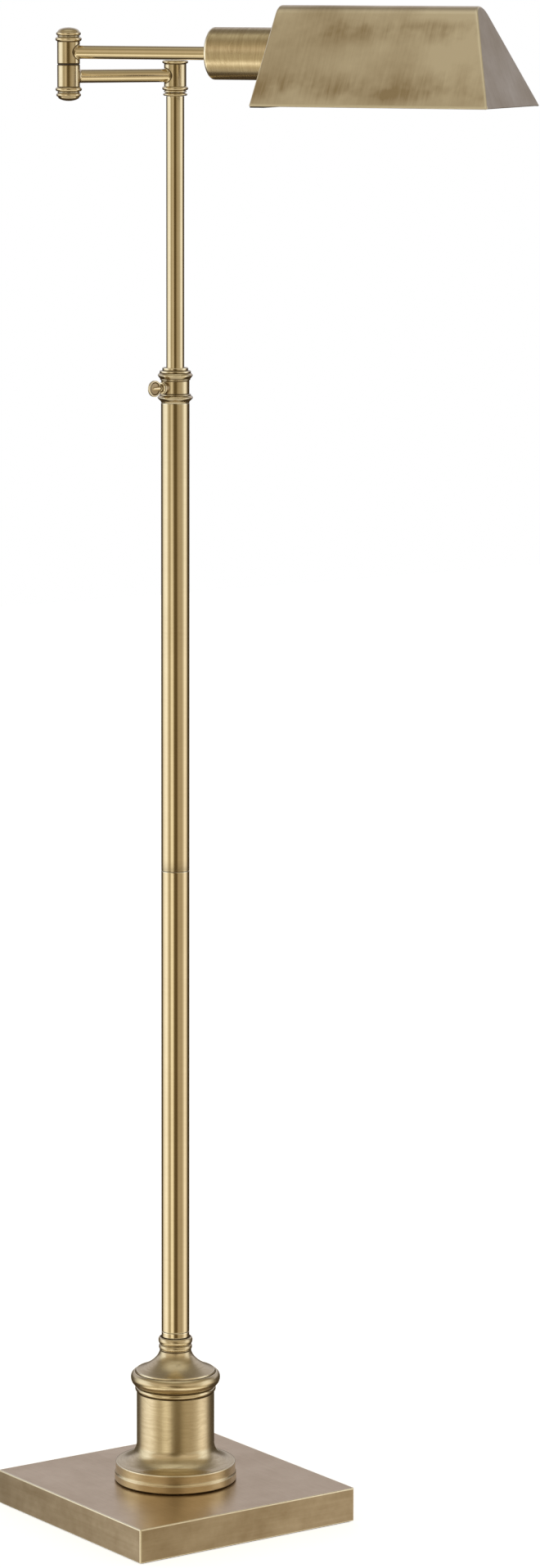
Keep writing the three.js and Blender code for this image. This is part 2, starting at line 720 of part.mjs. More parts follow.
const upperArm = new THREE.Group();
upperArm.position.set(ARM_LENGTH, 0, UPPER_ARM_Z);
upperArm.rotation.z = radians(UPPER_ARM_ANGLE - LOWER_ARM_ANGLE);
const upperKnuckle = new THREE.Group();
upperKnuckle.position.z = SEAM - UPPER_ARM_Z;
const head = new THREE.Group();
upperArm.add(upperKnuckle, head);
lowerArm.add(upperArm);
lamp.add(stand, mast, lowerArm);

makeBase(stand);
makeColumn(stand);
makePole(stand);
makeCollar(stand);
makeMast(mast);
makeHub(lowerArm);
makeKnuckleLower(knuckle);
makeKnuckleUpper(upperKnuckle);
makeUpperArm(upperArm);
makeCup(head);
makeSocket(head);
makeBulb(head);
makeShade(head);
makeWires(stand, mast, lowerArm, upperArm, head);

export default lamp;
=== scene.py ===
"""Pharmacy floor lamp in aged brass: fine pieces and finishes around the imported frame.

Lengths are in millimetres; meshes are scaled to metres as they are made.
"""

import json
import math

import bmesh
import bpy
from mathutils import Matrix, Vector


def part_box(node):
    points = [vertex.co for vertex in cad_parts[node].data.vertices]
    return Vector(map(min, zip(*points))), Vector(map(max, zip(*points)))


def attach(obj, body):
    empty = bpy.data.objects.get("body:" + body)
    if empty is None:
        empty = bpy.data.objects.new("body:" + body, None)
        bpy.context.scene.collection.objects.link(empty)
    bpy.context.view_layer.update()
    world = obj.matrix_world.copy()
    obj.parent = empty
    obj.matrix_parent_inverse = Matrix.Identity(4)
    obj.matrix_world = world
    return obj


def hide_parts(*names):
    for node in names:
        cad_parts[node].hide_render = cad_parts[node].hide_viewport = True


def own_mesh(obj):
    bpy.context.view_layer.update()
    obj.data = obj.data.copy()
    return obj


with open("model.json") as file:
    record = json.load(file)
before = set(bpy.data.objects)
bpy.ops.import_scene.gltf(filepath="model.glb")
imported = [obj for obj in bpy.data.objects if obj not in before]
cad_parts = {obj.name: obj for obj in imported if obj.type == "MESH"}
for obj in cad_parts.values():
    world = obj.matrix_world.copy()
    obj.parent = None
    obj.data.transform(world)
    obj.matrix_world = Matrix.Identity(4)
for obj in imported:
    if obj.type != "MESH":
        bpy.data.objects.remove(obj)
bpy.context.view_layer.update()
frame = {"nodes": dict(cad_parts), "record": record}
scene = bpy.context.scene

# ---- Driving dimensions ----
MM = 0.001
GAP = 0.3
TOTAL_HEIGHT = 1371.6

BASE_SIDE = 235
BASE_HEIGHT = 32
BASE_WALL = 1.6
BUSHING_Z = 11

FLANGE_R = 55.7
FLANGE_TOP = 49.6
COLUMN_R = 35.5
COLUMN_TOP = 115.6
FLARE_WIDTH = 18
FLARE_HEIGHT = 18
RING_HEIGHT = 4.8
SHOULDER_R = 40.8
CAP_TOP = 166.4

TIE_ROD_R = 5
TIE_ROD_TOP = 204
POLE_R = 12.7
POLE_BORE = 11.5
POLE_FOOT = 171.8
POLE_SEAM = 598.4
POLE_TOP = 1020.3
COLLAR_TOP = 1051.5
BARREL_R = 12.6
SCREW_Z = 1034
SCREW_ANGLE = 189.8
BOSS_FACE = 16.3
SPADE_X = 25.6
SPADE_R = 7.2

MAST_R = 7.95
MAST_BORE = 6.7
MAST_FOOT = 984
MAST_TOP = 1291
HUB_FOOT = 1294
HUB_TOP = 1322.3
HUB_R = 9.8
STUD_R = 4.5
CHAMBER_R = 7

LOWER_ARM_Z = 1309
UPPER_ARM_Z = 1330
LOWER_ARM_ANGLE = 173.5
UPPER_ARM_ANGLE = -57.7
ARM_LENGTH = 105
ARM_R = 5.75
ARM_BORE = 4.6
ARM_INSET = 7.6
KNUCKLE_R = 9.9
RING_TOP = 23.4
WEB = 4.4

# Along the upper arm, from the knuckle's axis.
CUP_START = 136.8
CUP_END = 206
CUP_R = 22.5
CUP_WALL = 1.2
SHADE_START = 197.3
SHADE_END = 412.8
SHADE_START_LEAN = 3
SHADE_END_LEAN = 30.8
SHADE_HALF_WIDTH = 65.5
SHADE_RIM = -42.7
SHADE_RIDGE = TOTAL_HEIGHT - UPPER_ARM_Z
RIDGE_R = 16
SHEET = 1.2
LIP_DEPTH = 13
FOLD_R = 1.8
BULB_R = 15.5
SWITCH_X = 178
BUSHING_FACE = CUP_R + 3
WIRE_R = 1.5

# ---- Places ----
SEAM_Z = (LOWER_ARM_Z + UPPER_ARM_Z) / 2


def at(x, y, z):
    return Matrix.Translation(Vector((x, y, z)) * MM)


def turn(degrees, axis="Z"):
    return Matrix.Rotation(math.radians(degrees), 4, axis)


def elbow(z):
    """The knuckle's axis at a height, with X along the lower arm."""
    return at(0, 0, z) @ turn(LOWER_ARM_ANGLE) @ at(ARM_LENGTH, 0, 0)


ALONG_X = turn(90, "Y")  # takes a piece turned about Z onto the X axis
FOLDED = turn(UPPER_ARM_ANGLE - LOWER_ARM_ANGLE)
LOWER_ARM = at(0, 0, LOWER_ARM_Z) @ turn(LOWER_ARM_ANGLE)
KNUCKLE = elbow(SEAM_Z)
UPPER_ARM = elbow(UPPER_ARM_Z) @ FOLDED
SCREW = at(0, 0, SCREW_Z) @ turn(SCREW_ANGLE)
SCREW_LINE = SCREW @ ALONG_X
ARM_LINE = UPPER_ARM @ ALONG_X
SWITCH_LINE = UPPER_ARM @ at(SWITCH_X, 0, 0) @ turn(-90, "X")

# ---- Camera ----
CAMERA_PLACE = (-2.6659, -3.9256, 1.4049)
CAMERA_HEADING = -35.209  # degrees about Z from looking along +Y
CAMERA_PITCH = 8.72  # degrees below the horizon
CAMERA_ROLL = 0.145
CAMERA_LENS = 122.5


def add_object(name, data):
    obj = bpy.data.objects.new(name, data)
    scene.collection.objects.link(obj)
    return obj


def make_camera():
    data = bpy.data.cameras.new("camera")
    data.lens = CAMERA_LENS
    data.sensor_width = 36
    camera = add_object("camera", data)
    aim = turn(CAMERA_HEADING) @ turn(90 - CAMERA_PITCH, "X") @ turn(CAMERA_ROLL)
    camera.matrix_world = Matrix.Translation(CAMERA_PLACE) @ aim
    scene.camera = camera


# ---- Node helpers ----
class Nodes:
    """Adds nodes to a tree; an input is given as a value or as another node's socket."""

    def __init__(self, tree):
        self.tree = tree
        tree.nodes.clear()

    def add(self, kind, inputs=(), **settings):
        node = self.tree.nodes.new(kind)
        for key, value in settings.items():
            setattr(node, key, value)
        for key, value in dict(inputs).items():
            self.set(node.inputs[key], value)
        return node

    def set(self, socket, value):
        if isinstance(value, bpy.types.NodeSocket):
            self.tree.links.new(value, socket)
        else:
            socket.default_value = value

    def math(self, operation, a, b=0.0, clamp=False):
        node = self.add("ShaderNodeMath", {0: a, 1: b}, operation=operation)
        node.use_clamp = clamp
        return node.outputs[0]

    def scaled(self, value, factor, offset):
        inputs = {0: value, 1: factor, 2: offset}
        return self.add("ShaderNodeMath", inputs, operation="MULTIPLY_ADD").outputs[0]

    def smooth(self, value, low, high):
        """0 at low and 1 at high, whichever of the two is larger."""
        inputs = {"Value": value, "From Min": low, "From Max": high}
        node = self.add("ShaderNodeMapRange", inputs, interpolation_type="SMOOTHSTEP")
        return node.outputs["Result"]

    def between(self, value, low, high):
        """value of 0 to 1 taken to low to high."""
        inputs = {"Value": value, "To Min": low, "To Max": high}
        return self.add("ShaderNodeMapRange", inputs).outputs["Result"]

    def mix(self, factor, a, b):
        node = self.add("ShaderNodeMix", data_type="RGBA")
        self.set(node.inputs["Factor"], factor)
        self.set(node.inputs["A"], a if isinstance(a, bpy.types.NodeSocket) else (*a, 1))
        self.set(node.inputs["B"], b if isinstance(b, bpy.types.NodeSocket) else (*b, 1))
        return node.outputs["Result"]

    def ramp(self, value, stops, interpolation="EASE"):
        node = self.add("ShaderNodeValToRGB", {"Fac": value})
        node.color_ramp.interpolation = interpolation
        elements = node.color_ramp.elements
        while len(elements) < len(stops):
            elements.new(0.5)
        for element, (place, color) in zip(elements, sorted(stops)):
            element.position = place
            element.color = (*color, 1)
        return node.outputs["Color"]

    def noise(self, vector, scale, detail=3.0, roughness=0.55):
        inputs = {"Vector": vector, "Scale": scale, "Detail": detail, "Roughness": roughness}
        return self.add("ShaderNodeTexNoise", inputs).outputs["Fac"]

    def dot(self, vector, axis):
        node = self.add("ShaderNodeVectorMath", {0: vector, 1: axis}, operation="DOT_PRODUCT")
        return node.outputs["Value"]


def new_material(name):
    material = bpy.data.materials.new(name)
    material.use_nodes = True
    return material, Nodes(material.node_tree)


def finish_material(n, inputs, bump=None, strength=0.1, distance=0.0002):
    """Adds the shader and the output, with bump from a height socket if there is one."""
    inputs = dict(inputs)
    if bump is not None:
        made = {"Strength": strength, "Distance": distance, "Height": bump}
        inputs["Normal"] = n.add("ShaderNodeBump", made).outputs["Normal"]
    shader = n.add("ShaderNodeBsdfPrincipled", inputs)
    n.add("ShaderNodeOutputMaterial", {"Surface": shader.outputs["BSDF"]})


# ---- Studio ----
FACING = Vector(CAMERA_PLACE).xy.normalized()
TOWARD = (FACING.x, FACING.y, 0)
ASIDE = (-FACING.y, FACING.x, 0)

# The panels round the lamp, level with it and a little below: degrees from the front, colour.
REAR_LEFT = [(-180, (0.10, 0.08, 0.05)), (-132, (0.08, 0.06, 0.04))]
REAR_RIGHT = [(124, (0.08, 0.06, 0.04)), (180, (0.08, 0.06, 0.04))]
STUDIO_BANDS = [
    *REAR_LEFT, (-114, (0.90, 0.90, 0.84)), (-96, (1.25, 1.26, 1.24)), (-76, (1.25, 1.26, 1.22)),
    (-60, (0.74, 0.68, 0.53)), (-53, (0.50, 0.43, 0.29)), (-41, (0.50, 0.43, 0.29)),
    (-31, (0.78, 0.69, 0.53)), (-22, (0.55, 0.45, 0.30)), (-11, (0.08, 0.05, 0.012)),
    (6, (0.07, 0.04, 0.01)), (17, (0.38, 0.31, 0.19)), (36, (0.53, 0.45, 0.32)),
    (50, (0.54, 0.47, 0.35)), (66, (0.76, 0.72, 0.60)), (80, (1.25, 1.24, 1.18)),
    (98, (1.15, 1.12, 1.05)), (112, (0.30, 0.26, 0.20)), *REAR_RIGHT,
]
LOWER_BANDS = [
    *REAR_LEFT, (-114, (0.85, 0.78, 0.66)), (-96, (1.25, 1.20, 1.10)), (-76, (1.35, 1.30, 1.20)),
    (-61, (0.92, 0.82, 0.64)), (-53, (0.52, 0.44, 0.29)), (-43, (0.52, 0.44, 0.29)),
    (-34, (1.15, 1.06, 0.84)), (-23, (1.25, 1.15, 0.92)), (-13, (0.62, 0.53, 0.37)),
    (-6, (0.10, 0.06, 0.02)), (11, (0.10, 0.06, 0.02)), (24, (0.48, 0.39, 0.25)),
    (36, (0.52, 0.43, 0.29)), (50, (0.48, 0.39, 0.26)), (66, (0.68, 0.59, 0.44)),
    (80, (1.22, 1.12, 0.97)), (98, (1.10, 1.00, 0.86)), (112, (0.40, 0.33, 0.24)), *REAR_RIGHT,
]
# Over and under the lamp: share of the way from straight down to straight up, colour.
OVERHEAD = [
    (0.54, (0.56, 0.47, 0.33)), (0.62, (0.78, 0.68, 0.52)), (0.70, (0.70, 0.59, 0.43)),
    (0.775, (0.50, 0.42, 0.28)), (0.83, (0.44, 0.37, 0.25)), (0.885, (0.37, 0.31, 0.21)),
    (0.93, (0.42, 0.37, 0.27)), (0.96, (0.64, 0.59, 0.46)), (1.0, (0.72, 0.68, 0.57)),
]
OVER_BACK = (0.24, 0.21, 0.165)
UNDERFOOT = [
    (0.0, (0.50, 0.45, 0.38)), (0.05, (0.66, 0.60, 0.48)), (0.09, (0.62, 0.54, 0.38)),
    (0.14, (0.90, 0.80, 0.60)), (0.18, (1.70, 1.62, 1.42)), (0.215, (1.20, 1.10, 0.88)),
    (0.26, (0.76, 0.67, 0.49)), (0.32, (0.50, 0.42, 0.27)),
]
UNDER_BACK = (0.07, 0.05, 0.03)
BEHIND = (0.61, 0.59, 0.63)
AHEAD = (0.20, 0.15, 0.07)

# Where the parts of the studio meet: a part gives way between the first value and the second.
# Height is 1 straight up, toward is 1 at the camera, aside is 1 square to that, and ahead is
# toward without the height.
LOWER_HEIGHT = (-0.05, -0.16)
OVER_HEIGHT_AHEAD = (0.03, 0.14)
OVER_HEIGHT_ROUND = (0.42, 0.6)
OVER_HEIGHT_MIDDLE = (0.12, 0.45)
ROUND_AHEAD = (0.32, 0.2)
MIDDLE_ASIDE = (0.32, 0.24)
OVER_BACK_TOWARD = (-0.1, -0.4)
BEHIND_TOWARD = (-0.4, -0.62)
BEHIND_FOOT = (0.05, 0.17)
BEHIND_TOP = (0.72, 0.56)
AHEAD_ASIDE = (0.22, 0.08)
AHEAD_TOWARD = (0.3, 0.6)
AHEAD_SHARE = 0.5
UNDER_HEIGHT = (-0.28, -0.42)
UNDER_BACK_TOWARD = (0.0, -0.25)


def panels(n, toward, aside, height):
    """The light of the upright panels round the lamp."""
    around = n.scaled(n.math("ARCTAN2", aside, toward), 0.5 / math.pi, 0.5)
    level = n.ramp(around, [((a + 180) / 360, color) for a, color in STUDIO_BANDS])
    lower = n.ramp(around, [((a + 180) / 360, color) for a, color in LOWER_BANDS])
    return n.mix(n.smooth(height, *LOWER_HEIGHT), level, lower)


def overhead_share(n, toward, aside, height):
    """How far a direction is from the panels to the ceiling, which is lowest in front."""
    flat = n.math("SQRT", n.math("SUBTRACT", 1.0, n.math("MULTIPLY", height, height)))
    ahead = n.math("DIVIDE", toward, n.math("MAXIMUM", flat, 0.001))
    share = n.mix(n.smooth(ahead, *ROUND_AHEAD), n.smooth(height, *OVER_HEIGHT_AHEAD),
                  n.smooth(height, *OVER_HEIGHT_ROUND))
    middle = n.smooth(n.math("ABSOLUTE", aside), *MIDDLE_ASIDE)
    return n.mix(middle, share, n.smooth(height, *OVER_HEIGHT_MIDDLE))


def studio_light(n, direction):
    """The studio's colour in a direction, from the panels out to the ceiling and the floor."""
    toward = n.dot(direction, TOWARD)
    aside = n.dot(direction, ASIDE)
    height = n.dot(direction, (0, 0, 1))
    light = panels(n, toward, aside, height)
    rise = n.scaled(height, 0.5, 0.5)
    over = n.mix(n.smooth(toward, *OVER_BACK_TOWARD), n.ramp(rise, OVERHEAD), OVER_BACK)
    light = n.mix(overhead_share(n, toward, aside, height), light, over)
    back = n.math("MULTIPLY", n.smooth(toward, *BEHIND_TOWARD), n.smooth(height, *BEHIND_FOOT))
    back = n.math("MULTIPLY", back, n.smooth(height, *BEHIND_TOP))
    light = n.mix(back, light, BEHIND)
    dim = n.math("MULTIPLY", n.smooth(n.math("ABSOLUTE", aside), *AHEAD_ASIDE),
                 n.smooth(toward, *AHEAD_TOWARD))
    light = n.mix(n.math("MULTIPLY", dim, AHEAD_SHARE), light, AHEAD)
    under = n.mix(n.smooth(toward, *UNDER_BACK_TOWARD), n.ramp(rise, UNDERFOOT), UNDER_BACK)
    return n.mix(n.smooth(height, *UNDER_HEIGHT), light, under)


def make_studio():
    """A world that lights the lamp like a studio and looks plain white to the camera."""
    world = bpy.data.worlds.new("studio")
    scene.world = world
    world.use_nodes = True
    n = Nodes(world.node_tree)
    light = studio_light(n, n.add("ShaderNodeTexCoord").outputs["Generated"])
    seen = n.add("ShaderNodeLightPath").outputs["Is Camera Ray"]
    shown = n.mix(seen, light, (1, 1, 1))
    background = n.add("ShaderNodeBackground", {"Color": shown, "Strength": 1.0})
    n.add("ShaderNodeOutputWorld", {"Surface": background.outputs["Background"]})
    scene.view_settings.view_transform = "Standard"


def make_floor():
    """A pale floor just under the lamp, which glossy surfaces don't mirror."""
    mesh = bpy.data.meshes.new("floor")
    half = 6.0
    drop = 0.0003
    corners = [(-half, -half, 0), (half, -half, 0), (half, half, 0), (-half, half, 0)]
    mesh.from_pydata(corners, [], [(0, 1, 2, 3)])
    floor = add_object("floor", mesh)
    floor.location.z = -drop
    floor.visible_glossy = False
    material, n = new_material("pale_floor")
    grain = n.noise(n.add("ShaderNodeTexCoord").outputs["Object"], 3.0)
    color = n.ramp(grain, [(0.0, (0.78, 0.78, 0.77)), (1.0, (0.82, 0.82, 0.81))])
    inputs = {"Base Color": color, "Roughness": 0.8, "Emission Color": (1, 1, 1, 1),
              "Emission Strength": 0.75}
    finish_material(n, inputs)
    mesh.materials.append(material)


# ---- Finishes ----
# The brass by its state; a finish's tint multiplies the first two.
CLEAN = (0.76, 0.66, 0.46)
PATINA = (0.42, 0.32, 0.18)
WORN = (0.95, 0.88, 0.70)
# Dark brown where an edge mark is below 0: patina in the hollows together with painted shade, and
# painted shadow where parts meet.
GRIME_AND_SHADE = (0.10, 0.065, 0.03)
# Noise scales, in waves per metre.
MOTTLE = 320.0
PATCHES = 24.0
DRIFT = 25.0


def grain_vector(n, grain):
    """Where the brushing is fine across and long along: rings round the piece's own Z axis for
    'turned', and otherwise a stretch of the piece's own axes."""
    place = n.add("ShaderNodeTexCoord").outputs["Object"]
    if grain != "turned":
        scaled = {0: place, 1: grain}
        node = n.add("ShaderNodeVectorMath", scaled, operation="MULTIPLY")
        return place, node.outputs["Vector"]
    flat = n.add("ShaderNodeVectorMath", {0: place, 1: (1, 1, 0)}, operation="MULTIPLY")
    radius = n.add("ShaderNodeVectorMath", {0: flat.outputs["Vector"]}, operation="LENGTH")
    drift = n.math("MULTIPLY", n.noise(place, DRIFT, 2.0), 0.02)
    height = n.math("ADD", n.dot(place, (0, 0, 1)), drift)
    rings = {"X": n.math("ADD", radius.outputs["Value"], drift), "Y": height}
    return place, n.add("ShaderNodeCombineXYZ", rings).outputs["Vector"]


def aged_patches(n, place, streaks, aged):
    """Patches of extra patina, with their most given by height on the piece's own Z axis."""
    low, high = aged[0][0], aged[-1][0]
    inputs = {"Value": n.dot(place, (0, 0, 1)), "From Min": low * MM, "From Max": high * MM}
    share = n.add("ShaderNodeMapRange", inputs).outputs["Result"]
    stops = [((z - low) / (high - low), (more, more, more)) for z, more in aged]
    patches = n.smooth(n.noise(place, PATCHES, 3.0, 0.6), 0.34, 0.66)
    patches = n.math("MULTIPLY", patches, n.between(streaks, 0.4, 1.6))
    return n.math("MULTIPLY", n.ramp(share, stops), patches)


def brass(name, grain="turned", patina=0.2, blotch=0.3, streak=0.2, roughness=0.2,
          brushed=0.0, tint=(1, 1, 1), blotch_scale=22.0, streak_scale=420.0, relief=0.0,
          aged=()):
    """Lacquered brass under a brown patina that is uneven, streaked along the brushing, worn
    through on the edges and dark in the recesses and joints, where the darkness is patina
    together with painted shade. Aged is a list of (height in millimetres, extra patina)."""
    material, n = new_material(name)
    place, along = grain_vector(n, grain)
    streaks = n.noise(along, streak_scale, 6.0, 0.6)
    clouds = n.noise(place, blotch_scale, 4.0, 0.6)
    mottle = n.noise(place, MOTTLE, 3.0, 0.6)
    amount = n.math("ADD", patina, n.between(clouds, -blotch, blotch))
    amount = n.math("ADD", amount, n.between(streaks, -streak, streak))
    if aged:
        amount = n.math("ADD", amount, aged_patches(n, place, streaks, aged))
    amount = n.math("ADD", amount, n.between(mottle, -0.06, 0.06), clamp=True)
    clean = tuple(c * t for c, t in zip(CLEAN, tint))
    dull = tuple(c * t for c, t in zip(PATINA, tint))
    color = n.mix(amount, clean, dull)
    edge = n.add("ShaderNodeAttribute", attribute_name="edge").outputs["Fac"]
    broken = n.between(mottle, 0.75, 1.25)
    worn = n.math("MULTIPLY", n.smooth(edge, 0.2, 0.9), broken, clamp=True)
    # Darker where the edge mark is below 0: patina together with painted shade and painted
    # contact shadow.
    grime_and_shade = n.math("MULTIPLY", n.smooth(edge, -0.15, -0.8), broken, clamp=True)
    color = n.mix(worn, color, WORN)
    color = n.mix(grime_and_shade, color, GRIME_AND_SHADE)
    rough = n.math("ADD", n.between(amount, roughness - 0.04, roughness + 0.06),
                   n.math("MULTIPLY", grime_and_shade, 0.3))
    inputs = {"Base Color": color, "Metallic": 1.0, "Roughness": rough}
    if brushed:
        inputs["Anisotropic"] = brushed
        tangent = n.add("ShaderNodeTangent", direction_type="RADIAL", axis="Z")
        inputs["Tangent"] = tangent.outputs["Tangent"]
    finish_material(n, inputs, streaks if relief else None, strength=relief, distance=0.00015)
    return material


def plain(name, color, spread, roughness, metallic=0.0, scale=90.0, bump=0.2, coat=0.0):
    """A material whose colour and gloss wander a little, with a fine surface grain."""
    material, n = new_material(name)
    place = n.add("ShaderNodeTexCoord").outputs["Object"]
    clouds = n.noise(place, scale, 4.0)
    fine = n.noise(place, scale * 14, 2.0)
    low = tuple(c * (1 - spread) for c in color)
    high = tuple(min(1, c * (1 + spread)) for c in color)
    inputs = {
        "Base Color": n.mix(clouds, low, high),
        "Metallic": metallic,
        "Roughness": n.between(fine, roughness - 0.08, roughness + 0.08),
    }
    if coat:
        inputs["Coat Weight"] = coat
    finish_material(n, inputs, fine, strength=bump)
    return material


# The shade's darker bands, above its rim and below its ridge: height, extra patina.
SHADE_AGED = [(SHADE_RIM + 1, 0.1), (SHADE_RIM + 12, 0.75), (SHADE_RIM + 36, 0), (2, 0),
              (24, 0.7), (33, 0)]


def make_finishes():
    """Every finish by its name here. The three grains say how fine the brushing is along X, Y
    and Z."""
    sheet = (1.0, 0.06, 0.06)
    across = (0.06, 1.0, 0.06)
    level = (0.05, 0.05, 1.0)
    return {
        "tube": brass("brass_tube", patina=0.1, blotch=0.15, streak=0.1, roughness=0.13),
        "turned": brass("brass_turned", patina=0.15, blotch=0.2, streak=0.2, roughness=0.17),
        "screw": brass("brass_screw", patina=0.8, blotch=0.6, streak=0.2, roughness=0.32,
                       tint=(0.72, 0.70, 0.72)),
        "column": brass("brass_column", patina=0.2, blotch=0.25, streak=0.45, roughness=0.27,
                        brushed=0.55, relief=0.02),
        "cup": brass("brass_cup", patina=0.35, blotch=0.3, streak=0.8, roughness=0.26,
                     relief=0.04),
        # The roof's light, cool tint is painted light, and the end plates take a darker, cooler
        # tint of the same brass as painted shade and a painted cool reflection.
        "shade": brass("brass_shade", grain=sheet, patina=0.2, blotch=0.9, streak=0.2,
                       roughness=0.36, tint=(1.19, 1.24, 1.42), blotch_scale=13.0, relief=0.02,
                       aged=SHADE_AGED),
        "plate": brass("brass_plate", grain=across, patina=0.45, blotch=0.5, streak=0.2,
                       roughness=0.4, tint=(0.88, 0.94, 1.19), relief=0.02),
        # The cover's top and sides are one brass: the top's pinkish tint is a painted reflection,
        # and the sides' darker, greyer tint is painted shade, beside heavier patina and their own
        # brushing.
        "base_top": brass("brass_base_top", grain=sheet, patina=0.4, blotch=0.4, streak=0.15,
                          roughness=0.3, tint=(1.05, 1.0, 1.06), relief=0.01),
        "base_side": brass("brass_base_side", grain=level, patina=0.5, blotch=0.6, streak=0.3,
                           roughness=0.34, tint=(0.71, 0.68, 0.70), blotch_scale=30.0,
                           streak_scale=260.0, relief=0.02),
        "steel": plain("zinc_plated_steel", (0.55, 0.55, 0.53), 0.15, 0.35, metallic=1.0),
        "iron": plain("cast_iron", (0.07, 0.068, 0.065), 0.3, 0.7, metallic=0.5, bump=0.7),
        "felt": plain("black_felt", (0.018, 0.018, 0.018), 0.4, 0.95, scale=400.0, bump=1.0),
        "plastic": plain("black_phenolic", (0.022, 0.02, 0.018), 0.25, 0.38, bump=0.12),
        "nylon": plain("dark_nylon", (0.05, 0.045, 0.04), 0.2, 0.45),
        "bright": plain("bright_brass", (0.80, 0.62, 0.32), 0.12, 0.25, metallic=1.0),
        "glass": plain("opal_glass", (0.86, 0.85, 0.81), 0.03, 0.22, scale=30.0, bump=0.02,
                       coat=0.6),
        "jacket": plain("gold_wire_jacket", (0.45, 0.33, 0.14), 0.12, 0.4, bump=0.1),
    }


# ---- Mesh helpers ----
GENTLE_BEND = 24  # degrees; a smaller bend needs no rounding
CORNER_SHARE = 0.45  # of an edge, at most, that the rounding of one corner takes
SHORTEST = 0.05  # millimetres between two points of a profile


def rounded(points, radius=0.3, steps=4, reach=0.9):
    """Rounds the corners of an outline that runs with the solid on its left, and marks each:
    1 on an outer corner, -1 in an inner one, unless the point gives its own mark; the brass
    shows -1 dark, as patina together with painted shade. Points are (u, v), (u, v, radius)
    or (u, v, radius, mark). The marks fade out within the reach on each side. A corner on the
    axis, at u = 0, is left alone."""
    made = []
    count = len(points)
    for i, point in enumerate(points):
        here = Vector(point[:2])
        before = Vector(points[i - 1][:2]) - here
        after = Vector(points[(i + 1) % count][:2]) - here
        if min(here.x, before.length, after.length) < 1e-6:
            made.append((*here, 0))
            continue
        bend = math.pi - before.angle(after)
        if bend < math.radians(GENTLE_BEND):
            made.append((*here, point[3] if len(point) > 3 else 0))
            continue
        outer = (-before).cross(after) > 0
        mark = point[3] if len(point) > 3 else (1 if outer else -1)
        room = min(before.length, after.length) * CORNER_SHARE
        asked = point[2] if len(point) > 2 else radius
        back = min(asked * math.tan(bend / 2), room)
        real = back / math.tan(bend / 2)
        length_a, length_b = before.length, after.length
        before.normalize()
        after.normalize()
        centre = here + (before + after).normalized() * real / math.cos(bend / 2)
        start = here + before * back - centre
        fade_a = min(back + reach, length_a / 2)
        fade_b = min(back + reach, length_b / 2)
        if fade_a > back + SHORTEST:
            made.append((*(here + before * fade_a), 0))
        for k in range(steps + 1):
            angle = (bend if outer else -bend) * k / steps
            swung = Matrix.Rotation(angle, 2) @ start
            made.append((*(centre + swung), mark))
        if fade_b > back + SHORTEST:
            made.append((*(here + after * fade_b), 0))
    return made


def bead(z0, z1, inner, outer, steps=12):
    """A half-round moulding from z0 to z1, dark at its roots: patina together with painted shade
    in the crevices.
    """
    points = []
    for i in range(steps + 1):
        angle = math.pi * i / steps
        point = (inner + (outer - inner) * math.sin(angle),
                 z0 + (z1 - z0) * (1 - math.cos(angle)) / 2)
        points.append((*point, 0.15, -1) if i in (0, steps) else point)
    return points


def arc(r, z, width, height, start, end, steps=8):
    """Points of an elliptical arc, from one angle to another in degrees."""
    points = []
    for i in range(steps + 1):
        angle = math.radians(start + (end - start) * i / steps)
        points.append((r + width * math.cos(angle), z + height * math.sin(angle)))
    return points


def curve(a, b, c, d, steps=16):
    """Points of a cubic curve after its first point and before its last."""
    points = []
    for i in range(1, steps):
        t = i / steps
        s = 1 - t
        points.append(tuple(
            s ** 3 * a[k] + 3 * s * s * t * b[k] + 3 * s * t * t * c[k] + t ** 3 * d[k]
            for k in range(2)
        ))
    return points


def new_object(name, vertices, faces, marks, place=Matrix(), sharp=32):
    """A mesh object from millimetre vertices, smooth but for edges sharper than an angle."""
    mesh = bpy.data.meshes.new(name)
    mesh.from_pydata([Vector(v) * MM for v in vertices], [], faces)
    edge = mesh.attributes.new("edge", "FLOAT", "POINT")
    edge.data.foreach_set("value", marks)
    mesh.shade_smooth()
    mesh.set_sharp_from_angle(angle=math.radians(sharp))
    obj = add_object(name, mesh)
    obj.matrix_world = place
    return obj


def lathe(profile, segments):
    """Vertices, faces and edge marks of a profile of (radius, height, mark) turned about Z."""
    vertices, marks, rings, faces = [], [], [], []
    for r, z, mark in profile:
        count = 1 if r < 1e-6 else segments
        rings.append(range(len(vertices), len(vertices) + count))
        for i in range(count):
            angle = 2 * math.pi * i / segments
            vertices.append((r * math.cos(angle), r * math.sin(angle), z))
            marks.append(mark)
    pairs = list(zip(rings, rings[1:]))
    if len(rings[0]) > 1:
        pairs.append((rings[-1], rings[0]))
    for a, b in pairs:
        for i in range(segments):
            k = (i + 1) % segments
            if len(a) > 1 and len(b) > 1:
                faces.append((a[i], a[k], b[k], b[i]))
            elif len(b) > 1:
                faces.append((a[0], b[k], b[i]))
            elif len(a) > 1:
                faces.append((a[i], a[k], b[0]))
    return vertices, faces, marks


def settle(obj, body, finish, stands_for=()):
    """Puts a made piece on its body with its finish, in place of CAD nodes if any."""
    obj.data.materials.append(FINISHES[finish])
    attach(obj, body)
    if stands_for:
        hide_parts(*stands_for)
    return obj


BODIES = frame["record"]["behaviour"]["bodies"]
BODY_OF = {node: body for body, nodes in BODIES.items() for node in nodes}


def turned(node, profile, finish, place=Matrix(), segments=96, name=None):
    """A turned piece that stands for a CAD node, or joins its body under a name of its own."""
    obj = new_object(name or node + "_fine", *lathe(rounded(profile), segments), place)
    return settle(obj, BODY_OF[node], finish, () if name else (node,))


def tube(outer, bore, z0, z1, edge=0.25):
    return [(outer, z0, edge), (outer, z1, edge), (bore, z1, 0.1), (bore, z0, 0.1)]


